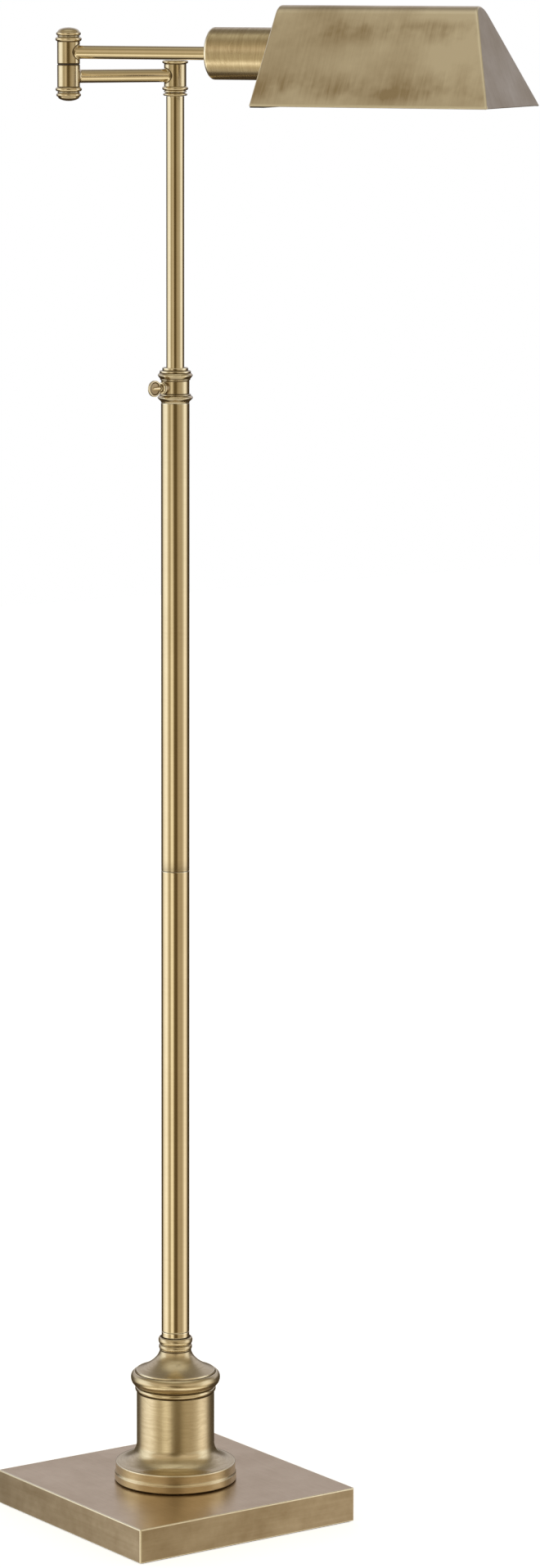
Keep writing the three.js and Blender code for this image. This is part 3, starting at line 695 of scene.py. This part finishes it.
def saddle(name, body, finish, place, post_r, tube_r, fillet=1.8, segments=72):
    """The brazed fillet where a tube along +X leaves an upright post at the place's origin, dark
    at its root against the post as a painted shadow at the joint.
    """
    vertices, marks, faces = [], [], []
    steps = 6
    rows = steps + 2
    sunk = 0.05
    # The rows against the post are marked dark: a painted shadow at the joint, with grime.
    dark_rows = 3
    for k in range(rows):
        for i in range(segments):
            angle = 2 * math.pi * i / segments
            if k > steps:  # closes the ring inside the post
                reach, out = tube_r - 0.6, -1.5
            else:
                sweep = math.pi / 2 * k / steps
                reach = tube_r + fillet * (1 - math.sin(sweep))
                out = fillet * (1 - math.cos(sweep))
            y = reach * math.cos(angle)
            surface = math.sqrt(max(post_r ** 2 - y * y, 0))
            vertices.append((surface + out - sunk, y, reach * math.sin(angle)))
            marks.append(-0.8 if k < dark_rows else 0)
    for k in range(rows):
        for i in range(segments):
            a, b = k * segments, (k + 1) % rows * segments
            j = (i + 1) % segments
            faces.append((a + i, a + j, b + j, b + i))
    obj = new_object(name, vertices, faces, marks, place)
    return settle(obj, body, finish)


# ---- Base ----
UPWARD = 0.8  # the least of Z in the normal of a face that is brushed as part of the top


def square_ring(half, corner, z, steps=6):
    """A ring of points round a square with rounded corners, anticlockwise from above."""
    points = []
    inner = half - corner
    for quarter in range(4):
        cx = inner if quarter in (0, 3) else -inner
        cy = inner if quarter < 2 else -inner
        for i in range(steps + 1):
            angle = math.pi / 2 * (quarter + i / steps)
            points.append((cx + corner * math.cos(angle), cy + corner * math.sin(angle), z))
    return points


def square_sweep(skin, half, corner):
    """Vertices, faces and edge marks of a section carried round the square base."""
    vertices, marks, rings = [], [], []
    for reach, z, mark in skin:
        ring = square_ring(reach, max(corner - (half - reach), 0.35), z)
        rings.append(range(len(vertices), len(vertices) + len(ring)))
        vertices += ring
        marks += [mark] * len(ring)
    faces = []
    for a, b in zip(rings, rings[1:] + rings[:1]):
        for i in range(len(a)):
            k = (i + 1) % len(a)
            faces.append((a[i], a[k], b[k], b[i]))
    return vertices, faces, marks


def make_base():
    """The square cover, open in the middle under the column."""
    half = BASE_SIDE / 2
    inside = half - BASE_WALL
    under = BASE_HEIGHT - BASE_WALL
    corner = 1.6
    pad = 1
    hole = 20
    skin = [(half, pad, 0.3), (half, BASE_HEIGHT, 0.9), (hole, BASE_HEIGHT), (hole, under),
            (inside, under, 0.6), (inside, pad, 0.3)]
    sweep = square_sweep(rounded(skin, steps=5), half, corner)
    obj = new_object("base_cover_fine", *sweep)
    settle(obj, "stand", "base_side", stands_for=("base_cover",))
    # Faces that look up take the top's finish; the top and side tints differ as painted
    # reflection and painted shade.
    obj.data.materials.append(FINISHES["base_top"])
    for face in obj.data.polygons:
        if face.normal.z > UPWARD:
            face.material_index = 1
    upright_edges(obj, half, corner)


def make_bushing():
    """The bushing in the base's back that the lead leaves through."""
    half = BASE_SIDE / 2
    inside, outside, end = half - 6, half + GAP, half + 2.1
    bushing = [(4.2, inside), (4.2, outside), (6.6, outside, 0.4), (6.3, end, 0.9), (3, end, 0.4),
               (3, inside)]
    place = at(0, 0, BUSHING_Z) @ turn(-90, "X")
    turned("cord_bushing", bushing, "plastic", place, 48)


def upright_edges(obj, half, corner):
    """Marks the cover's four upright corners as worn, like its top edges."""
    edge = obj.data.attributes["edge"].data
    for vertex, mark in zip(obj.data.vertices, edge):
        x, y = abs(vertex.co.x / MM), abs(vertex.co.y / MM)
        if min(x, y) > half - corner * 0.75:
            mark.value = 1


# ---- Column ----
def make_column():
    """The flanged column and the ring on it."""
    floor = BASE_HEIGHT + GAP
    ledge = 39.5
    flare = (FLARE_WIDTH, FLARE_HEIGHT - 0.6)
    shell = [
        # The flange's foot is marked dark: a painted contact shadow where it stands on the base.
        (FLANGE_R - 0.8, floor, 0.1, -1),
        (FLANGE_R, floor + 0.8, 0.3, -1),
        (FLANGE_R, ledge, 0.5, 0.5),
        (FLANGE_R - 0.5, ledge + 0.9),
        (FLANGE_R - 0.8, ledge + 2),
        (FLANGE_R - 0.9, ledge + 3.1),
        (FLANGE_R - 0.8, FLANGE_TOP, 0.7),
        *arc(COLUMN_R + FLARE_WIDTH, FLANGE_TOP + FLARE_HEIGHT, *flare, 270, 180, 16),
        # Marked dark where the ring sits: painted shade between the column and the ring.
        (COLUMN_R, COLUMN_TOP, 0.4, -1),
        (COLUMN_R - 2.5, COLUMN_TOP, 0.2),
        (COLUMN_R - 2.5, floor, 0.2),
    ]
    turned("column_shell", shell, "column", segments=144)
    ring_foot = COLUMN_TOP + GAP
    ring_top = COLUMN_TOP + RING_HEIGHT
    ring = [(30, ring_foot), *bead(ring_foot, ring_top, 35.2, 36.9), (30, ring_top)]
    turned("column_ring", ring, "turned", segments=128)


def make_cap():
    """The turned cap: a round shoulder, a lip, a hollow bell and two beads."""
    foot = COLUMN_TOP + RING_HEIGHT + GAP
    lip = (35.9, 135.6)
    neck = (14.3, 154.4)
    cap = [
        # The foot on the ring, the groove under the lip and the neck are marked dark: painted
        # shade together with patina where parts meet and in the groove.
        (SHOULDER_R - 4.4, foot, 0.2, -1),
        *arc(SHOULDER_R - 6, 128.8, 6, 7.6, -70, 0, 8),
        *arc(SHOULDER_R - 6, 128.8, 6, 6.1, 10, 60, 7),
        (36.9, 133.7, 0.2, -1),
        (36.4, 133.7, 0.2, -1),
        (36.2, 135.1, 0.3, 1),
        (*lip, 0.1, 1),
        *curve(lip, (28, 138.2), (15.5, 145), neck),
        (*neck, 0.2, -1),
        *bead(155, 159.4, 14.1, 15.2),
        *bead(160.2, CAP_TOP, 14, 15.6),
        (TIE_ROD_R + GAP, CAP_TOP),
        (TIE_ROD_R + GAP, 150),
        (11, 146),
        (22, 136),
        (SHOULDER_R - 8, 130),
        (SHOULDER_R - 8, foot),
    ]
    turned("column_cap", cap, "column", segments=144)


# ---- Pole ----
SEAM_STAIN = [(1.3, -0.42), (5, -0.32), (9, -0.25), (16, 0)]  # height over the seam, mark


def make_pole():
    """The ring at the pole's foot and the two tubes, stained just over the seam between them."""
    plug = POLE_BORE - GAP
    foot = CAP_TOP + GAP
    ring_top = POLE_FOOT - GAP
    ring = [(POLE_R, foot, 0.4), (POLE_R, ring_top, 0.4), (plug, ring_top),
            (plug, TIE_ROD_TOP - 2), (TIE_ROD_R + GAP, TIE_ROD_TOP - 2), (TIE_ROD_R + GAP, foot)]
    turned("pole_foot_ring", ring, "tube")
    half = GAP / 2
    lower = tube(POLE_R, POLE_BORE, POLE_FOOT, POLE_SEAM - half)
    turned("lower_pole_tube", lower, "tube")
    upper = tube(POLE_R, POLE_BORE, POLE_SEAM + half, POLE_TOP - half)
    upper[0] = (*upper[0][:3], -1)
    upper[1:1] = [(POLE_R, POLE_SEAM + rise, 0, mark) for rise, mark in SEAM_STAIN]
    turned("upper_pole_tube", upper, "tube")


def make_collar():
    """The turned collar at the pole's top, with the boss that the thumbscrew goes through."""
    bore = MAST_R + 0.35
    plug = POLE_BORE - GAP
    plug_foot = 1000
    foot = POLE_TOP + GAP
    barrel = [
        (plug, plug_foot),
        (plug, foot),
        (POLE_R, foot, 0.1),
        (POLE_R + 0.3, 1021.8),
        (13.5, 1022.2),
        (15.3, 1023.9),
        (15.9, 1024.9, 0.5),
        (15.2, 1026.0),
        (13.9, 1027.1, 0.1, -1),
        (13.9, 1027.9, 0.2),
        (BARREL_R, 1028.3, 0.1, -1),
        (BARREL_R, 1040.2, 0.1, -1),
        (13.5, 1040.9, 0.2),
        (13.5, 1041.7, 0.1, -1),
        (15.1, 1043.7),
        (15.7, 1044.8, 0.5),
        (15.1, 1045.8),
        (13.9, 1046.9, 0.1, -1),
        (13.9, 1048.7, 0.4),
        (11.5, 1049.1, 0.1, -1),
        (11.5, COLLAR_TOP, 0.4),
        (bore, COLLAR_TOP, 0.3),
        (bore, plug_foot),
    ]
    turned("collar", barrel, "turned", segments=128)
    boss = [(0, 9.5), (5.4, 9.5, 0.1, -1), (5.4, BOSS_FACE - 2.2), (5.4, BOSS_FACE, 0.5),
            (0, BOSS_FACE)]
    turned("collar", boss, "screw", SCREW_LINE, 64, name="collar_boss_fine")


def make_thumbscrew():
    """Shank and shoulder turned about the screw's line, and a spade with a raised rim."""
    face = BOSS_FACE + GAP
    shank = [
        (0, 10.4),
        (2, 10.4, 0.4),
        (2, face, 0.1),
        (5.2, face, 0.3, -1),
        (5.2, face + 1.3, 0.5),
        (3.2, face + 1.9, 0.2, -1),
        (2.1, face + 2.6, 0.3, -1),
        (1.7, SPADE_X - 2),
        (1.7, SPADE_X + 1.6),
        *arc(0, SPADE_X + 1.6, 1.7, 1.7, 15, 75, 4),
        (0, SPADE_X + 3.3),
    ]
    turned("thumbscrew", shank, "turned", SCREW_LINE, 64)
    rim = 1.2
    web = 0.75
    spade = [(0, -web), (SPADE_R - 1.7, -web, 0.4, -1), (SPADE_R - 1.1, -rim, 0.3),
             (SPADE_R, -rim, 0.5), (SPADE_R, rim, 0.5), (SPADE_R - 1.1, rim, 0.3),
             (SPADE_R - 1.7, web, 0.4, -1), (0, web)]
    place = SCREW @ at(SPADE_X, 0, 0) @ turn(90, "X")
    turned("thumbscrew", spade, "screw", place, 72, name="thumbscrew_spade_fine")


# ---- Mast and hub ----
def make_mast():
    """The mast and the beaded collar that is plugged into its top."""
    turned("mast_tube", tube(MAST_R, MAST_BORE, MAST_FOOT, MAST_TOP), "tube")
    plug = MAST_BORE - GAP
    plug_foot = MAST_TOP - 16
    foot = MAST_TOP + GAP
    collar = [(plug, plug_foot), (plug, foot), (MAST_R, foot),
              *bead(foot, HUB_FOOT - 0.5, 9.4, 10.7), (8.8, HUB_FOOT), (STUD_R + GAP, HUB_FOOT),
              (STUD_R + GAP, plug_foot)]
    turned("mast_collar", collar, "turned")


def make_hub():
    """The hub on the mast, its cap, and the lower arm brazed to its side."""
    foot = HUB_FOOT + GAP
    floor = 1300.5
    cap_foot = 1317.5
    hub = [
        (8.9, foot, 0.1),
        *bead(foot, 1296, 9.0, 10.0, 8),
        *bead(1296.1, 1299.4, 9.8, 11.5),
        (HUB_R, 1299.8, 0.1),
        (HUB_R, 1319.2, 0.1),
        *bead(1319.5, HUB_TOP - 0.2, 10.2, 11.4),
        (10, HUB_TOP, 0.2),
        (CHAMBER_R, HUB_TOP, 0.2),
        (CHAMBER_R, floor),
        (STUD_R + GAP, floor),
        (STUD_R + GAP, foot),
    ]
    turned("hub", hub, "turned")
    cap = [(0, cap_foot), (CHAMBER_R - GAP, cap_foot), (CHAMBER_R - GAP, HUB_TOP - 0.4, 0.5),
           (0, HUB_TOP - 0.1)]
    turned("hub_cap", cap, "turned", segments=64)
    arm = tube(ARM_R, ARM_BORE, ARM_INSET, ARM_LENGTH - ARM_INSET)
    turned("lower_arm_tube", arm, "tube", LOWER_ARM @ ALONG_X, 72)
    saddle("hub_saddle", "lower_arm", "turned", LOWER_ARM, HUB_R, ARM_R)


# ---- Knuckle ----
def make_knuckle():
    """Two halves that mirror each other in the seam, each with a ring, a groove and a finial."""
    seam = 0.35
    # The edge at the seam is marked dark: painted shade in the gap between the halves, with
    # patina.
    half = [(KNUCKLE_R, seam, 0.3, -1), (KNUCKLE_R, 19.7, 0.1), *bead(20.0, RING_TOP, 10.1, 11.5),
            (CHAMBER_R, RING_TOP), (CHAMBER_R, WEB), (STUD_R + GAP, WEB), (STUD_R + GAP, seam)]
    foot = RING_TOP + 0.1
    plug_foot = 18
    finial = [
        (0, plug_foot),
        (CHAMBER_R - GAP, plug_foot),
        (CHAMBER_R - GAP, foot),
        (9.3, foot, 0.1, -1),
        (9.3, 23.8, 0.1, -1),
        (9.9, 24.1),
        (9.9, 24.6),
        (9.3, 24.9, 0.1, -1),
        *bead(25.1, 27.9, 9.8, 10.8),
        *arc(0, 28, 9.5, 3.8, 4, 86, 12),
        (0, 31.8),
    ]
    under = KNUCKLE @ turn(180, "X")
    turned("knuckle_lower", half, "turned", under)
    turned("knuckle_finial_lower", finial, "turned", under)
    turned("knuckle_upper", half, "turned", KNUCKLE @ FOLDED)
    turned("knuckle_finial_upper", finial, "turned", KNUCKLE @ FOLDED)
    back = elbow(LOWER_ARM_Z) @ turn(180)
    saddle("knuckle_lower_saddle", "lower_arm", "turned", back, KNUCKLE_R, ARM_R)
    saddle("knuckle_upper_saddle", "upper_arm", "turned", UPPER_ARM, KNUCKLE_R, ARM_R)


# ---- Upper arm, cup and socket ----
def make_cup():
    """The upper arm's tube and the cup on its end, which the tube runs a little way into."""
    arm = tube(ARM_R, ARM_BORE, ARM_INSET, CUP_START + 6.5)
    turned("upper_arm_tube", arm, "tube", ARM_LINE, 72)
    inside = CUP_R - CUP_WALL
    bore = ARM_R + 0.4
    cup = [(bore, CUP_START, 0.3), (CUP_R, CUP_START, 2.4), (CUP_R, CUP_END, 0.3),
           (inside, CUP_END, 0.3), (inside, CUP_START + CUP_WALL, 1.2),
           (bore, CUP_START + CUP_WALL, 0.2)]
    cup = [(r, -along, *rest) for r, along, *rest in reversed(cup)]
    turned("cup", cup, "cup", UPPER_ARM @ turn(-90, "Y"), 128)


def threads(start, end, pitch, crest, root):
    """The profile of rolled threads along a shell, as crests and roots in turn."""
    points = []
    count = math.ceil((end - start) / pitch)
    for i in range(count):
        points.append((crest, start + i * pitch))
        points.append((root, start + (i + 0.5) * pitch))
    return points


def make_socket():
    """The socket's body with its threaded shell, and the bushing that the switch turns in."""
    start, floor, end = 152, 171, 199
    outer, bore = 17.5, 14.4
    body = [(0, start), (outer, start, 1.2), (outer, end, 0.8), (bore, end, 0.4), (bore, floor),
            (0, floor)]
    turned("socket_body", body, "plastic", ARM_LINE, 64)
    crest = bore - 0.3
    wound = threads(floor + 3, end - 1.5, 3.6, crest, crest - 0.4)
    shell = [*wound, (crest, end - 0.5), (crest - 0.6, end - 0.5)]
    shell += [(r - 0.5, z) for r, z in reversed(wound)]
    turned("socket_screw_shell", shell, "bright", ARM_LINE, 64)
    foot = CUP_R - 4.3
    bushing = [(3.1, foot, 0.2), (3.1, BUSHING_FACE, 0.3), (1.9, BUSHING_FACE), (1.9, foot)]
    turned("switch_bushing", bushing, "bright", SWITCH_LINE, 48)


def make_switch_knob():
    """A fluted knob on a stem: its wall swells and sinks twelve times round."""
    foot = BUSHING_FACE + GAP
    profile = rounded([
        (0, foot),
        (3.8, foot, 0.3),
        (5.1, foot + 1.6, 0.5),
        (4.9, foot + 10.2, 0.9),
        (3.4, foot + 10.9, 0.5),
        (0, foot + 10.5),
    ])
    flutes = 12
    depth = 0.09
    core = 3.4
    wall = 1.4
    vertices, faces, marks = lathe(profile, 8 * flutes)
    shaped = []
    for x, y, z in vertices:
        radius = math.hypot(x, y)
        angle = math.atan2(y, x)
        share = max(0.0, min(1.0, (radius - core) / wall))
        swell = 1 + depth * share * math.cos(flutes * angle)
        shaped.append((x * swell, y * swell, z))
    obj = new_object("switch_knob_fine", shaped, faces, marks, SWITCH_LINE, sharp=50)
    settle(obj, "switch", "plastic", ("switch_knob",))
    stem_foot = CUP_R - 4.1
    stem = [(0, stem_foot), (1.5, stem_foot, 0.3), (1.5, foot + 1), (0, foot + 1)]
    turned("switch_knob", stem, "steel", SWITCH_LINE, 32, "switch_stem_fine")


def make_bulb():
    """The bulb's threaded cap and its tubular glass, drawn as an outer and an inner skin."""
    tip, base, rim = 173.7, 180, 204
    cap = [(0, tip), (4.5, tip, 0.8), (11.8, 178.6, 0.6), *threads(base, 201, 3.2, 12.9, 12.5),
           (12.9, rim, 0.3), (12.3, rim), (12, base), (0, base)]
    turned("bulb_cap", cap, "steel", ARM_LINE, 64)
    neck, neck_end, wide, dome, end = 11.6, 206.5, 220, 296, 309
    outer = [(neck, 182), (neck, neck_end),
             *curve((neck, neck_end), (neck, 212), (BULB_R, 212), (BULB_R, wide), 10),
             (BULB_R, wide), (BULB_R, dome), *arc(0, dome, BULB_R, end - dome, 8, 84, 10),
             (0, end)]
    inner = [(max(r - 1, 0), z - 1 if z > 300 else z) for r, z in reversed(outer)]
    turned("bulb_glass", [*outer, *inner], "glass", ARM_LINE, 96)


# ---- Shade ----
ENDWARD = 0.6  # the least of X in the normal of a face that is finished as an end plate


def roof_outline(inset, slope_steps=10, ridge_steps=16):
    """The roof across the arm, from the +Y rim over the ridge to the -Y rim, drawn that much
    inside its outer surface."""
    centre = SHADE_RIDGE - RIDGE_R
    drop = SHADE_RIM - centre
    reach = math.hypot(SHADE_HALF_WIDTH, drop)
    lean = math.atan2(drop, SHADE_HALF_WIDTH) + math.acos(RIDGE_R / reach)
    radius = RIDGE_R - inset
    foot = (radius - drop * math.sin(lean)) / math.cos(lean)
    shoulder = (radius * math.cos(lean), centre + radius * math.sin(lean))
    points = []
    slopes = [0, 0.012, 0.035] + [i / slope_steps for i in range(1, slope_steps)]
    for t in slopes:
        rise = (shoulder[1] - SHADE_RIM) * t
        points.append((foot + (shoulder[0] - foot) * t, SHADE_RIM + rise))
    for i in range(ridge_steps + 1):
        angle = lean + (math.pi - 2 * lean) * i / ridge_steps
        points.append((radius * math.cos(angle), centre + radius * math.sin(angle)))
    return points + [(-y, z) for y, z in reversed(points[:len(slopes)])]


def end_place(z, far, inset):
    """The place along the arm of an end plane at a height, moved inwards by an inset."""
    rise = (z - SHADE_RIM) / (SHADE_RIDGE - SHADE_RIM)
    if far:
        return SHADE_END - SHADE_END_LEAN * rise - inset
    return SHADE_START + SHADE_START_LEAN * rise + inset


def shade_rings():
    """The shade's outer skin as rings from the socket end to the far end, each with its edge
    mark, or None where it is past the fold and in the end plate."""
    steps = 5
    rings = []
    for far in (False, True):
        fold = [(FOLD_R + 1.4, 0, 0)]
        for k in range(steps + 1):
            sweep = math.pi / 2 * k / steps
            worn = 1 if k in (2, 3) else 0.3
            fold.append((FOLD_R * (1 - math.sin(sweep)), FOLD_R * (1 - math.cos(sweep)), worn))
        fold.append((0, FOLD_R + 1.3, None))
        made = []
        for inset, tuck, mark in fold:
            ring = [(end_place(z, far, inset), y, z) for y, z in roof_outline(tuck)]
            made.append((ring, mark))
        rings += made if far else reversed(made)
    return rings


def fill_round(mesh, ring, hole):
    """Fills an end plate inside a ring of bmesh vertices, round a ring of hole vertices."""
    edges = []
    for loop in (ring, hole):
        for a, b in zip(loop, loop[1:] + loop[:1]):
            edges.append(mesh.edges.get((a, b)) or mesh.edges.new((a, b)))
    bmesh.ops.triangle_fill(mesh, edges=edges, use_beauty=True)


def add_ring(mesh, layer, points, marks):
    """Adds a ring of bmesh vertices, with an edge mark for each."""
    ring = []
    for point, mark in zip(points, marks):
        vertex = mesh.verts.new(point)
        vertex[layer] = mark
        ring.append(vertex)
    return ring


def shade_skin():
    """The shade's outer skin with its end plates as one bmesh, open along the rim."""
    mesh = bmesh.new()
    layer = mesh.verts.layers.float.new("edge")
    rings = []
    count = len(roof_outline(0))
    rims = (0, 1, count - 2, count - 1)
    for ring, mark in shade_rings():
        folded = mark is not None
        marks = [1 if folded and i in rims else mark or 0 for i in range(count)]
        rings.append(add_ring(mesh, layer, [Vector(point) * MM for point in ring], marks))
    columns = 12
    middle = len(rings) // 2
    start, end = rings[middle - 1], rings[middle]
    marks = [1 if i in rims else 0 for i in range(count)]
    rings[middle:middle] = [
        add_ring(mesh, layer, [a.co.lerp(b.co, k / columns) for a, b in zip(start, end)], marks)
        for k in range(1, columns)
    ]
    for a, b in zip(rings, rings[1:]):
        for i in range(count - 1):
            mesh.faces.new((a[i], a[i + 1], b[i + 1], b[i]))
    fill_round(mesh, rings[0], cup_hole(mesh))
    mesh.faces.new(rings[-1])
    bmesh.ops.recalc_face_normals(mesh, faces=mesh.faces)
    if next(f for f in mesh.faces if abs(f.normal.x) < 0.3).normal.z < 0:
        bmesh.ops.reverse_faces(mesh, faces=mesh.faces)
    return mesh


def cup_hole(mesh, segments=96):
    """The ring of vertices where the cup passes through the end plate."""
    radius = CUP_R + GAP
    hole = []
    for i in range(segments):
        angle = 2 * math.pi * i / segments
        y, z = radius * math.cos(angle), radius * math.sin(angle)
        hole.append(mesh.verts.new(Vector((end_place(z, False, 0), y, z)) * MM))
    return hole


def make_shade():
    """The folded shade with its end plates, the lip, and the ring that holds it on the cup."""
    mesh = shade_skin()
    data = bpy.data.meshes.new("shade_fine")
    mesh.to_mesh(data)
    mesh.free()
    obj = add_object("shade_fine", data)
    obj.matrix_world = UPPER_ARM
    data.shade_smooth()
    thicken(obj, SHEET)
    settle(obj, "head", "shade", stands_for=("shade_shell", "shade_end_far"))
    # Faces that look along the arm take the end plates' finish, whose darker, cooler tint is
    # painted shade and a painted cool reflection.
    obj.data.materials.append(FINISHES["plate"])
    for face in obj.data.polygons:
        if abs(face.normal.x) > ENDWARD:
            face.material_index = 1
    make_lip()
    start = SHADE_START + 4.6
    ring = tube(CUP_R + 2.4, CUP_R + GAP, start, start + 3, 0.5)
    turned("cup_ring", ring, "turned", ARM_LINE, 128)


def thicken(obj, thickness):
    """Gives a skin its thickness inwards and rounds the rim, as plain mesh."""
    solid = obj.modifiers.new("thickness", "SOLIDIFY")
    solid.thickness = thickness * MM
    solid.offset = -1
    solid.use_even_offset = True
    bevel = obj.modifiers.new("rim", "BEVEL")
    bevel.width = 0.35 * MM
    bevel.segments = 3
    bevel.limit_method = "ANGLE"
    bevel.angle_limit = math.radians(50)
    weights = obj.modifiers.new("normals", "WEIGHTED_NORMAL")
    weights.keep_sharp = True
    weights.weight = 100
    graph = bpy.context.evaluated_depsgraph_get()
    obj.data = bpy.data.meshes.new_from_object(obj.evaluated_get(graph))
    obj.modifiers.clear()


def make_lip():
    """The narrow lip turned in below the rim at the socket end."""
    top = SHADE_RIM - 0.4
    root = SHADE_RIM + 2
    start = SHADE_START + 0.4
    outline = rounded(
        [
            (start, top - SHEET, 0.4),
            (start + LIP_DEPTH, top - SHEET, 0.3),
            (start + LIP_DEPTH, top, 0.3),
            (start + SHEET, top, 0.1),
            (start + SHEET, root, 0.1),
            (start, root, 0.1),
        ],
        reach=0.3,
    )
    half = SHADE_HALF_WIDTH - 2.5
    vertices, marks = [], []
    for y in (-half, half):
        vertices += [(x, y, z) for x, z, _ in outline]
        marks += [mark for *_, mark in outline]
    count = len(outline)
    faces = [(i, (i + 1) % count, count + (i + 1) % count, count + i) for i in range(count)]
    faces.append(tuple(reversed(range(count))))
    faces.append(tuple(range(count, 2 * count)))
    faces = [tuple(reversed(face)) for face in faces]
    obj = new_object("shade_lip_fine", vertices, faces, marks, UPPER_ARM)
    # The lip is drawn dark, in the nylon finish, as a dark strip below the rim.
    settle(obj, "head", "nylon", stands_for=("shade_end_socket",))


# ---- Wires and hidden hardware ----
HARDWARE = {
    "steel": ("base_nut", "tie_rod", "pole_coupler", "hub_stud", "hub_nut", "knuckle_stud",
              "knuckle_nut_lower", "knuckle_nut_upper", "swivel_nut"),
    "iron": ("base_weight",),
    "felt": ("base_pad",),
    "nylon": ("clamp_pad", "mast_guide", "knuckle_washer"),
    "bright": ("socket_contact",),
    "jacket": ("wire_base", "wire_column", "wire_mast", "wire_lower_arm", "wire_upper_arm",
               "wire_socket"),
}


def finish_hardware():
    for finish, nodes in HARDWARE.items():
        for node in nodes:
            obj = frame["nodes"][node]
            obj.data.materials.clear()
            obj.data.materials.append(FINISHES[finish])


def make_slack():
    """The spare lead inside the pole, as a round lead with a mesh of its own."""
    low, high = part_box("wire_slack")
    profile = [(0, low.z / MM), (WIRE_R, low.z / MM), (WIRE_R, high.z / MM), (0, high.z / MM)]
    slack = turned("wire_slack", profile, "jacket", segments=16)
    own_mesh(slack)


# ---- Assembly ----
make_camera()
make_studio()
make_floor()
FINISHES = make_finishes()
make_base()
make_bushing()
make_column()
make_cap()
make_pole()
make_collar()
make_thumbscrew()
make_mast()
make_hub()
make_knuckle()
make_cup()
make_socket()
make_switch_knob()
make_bulb()
make_shade()
finish_hardware()
make_slack()
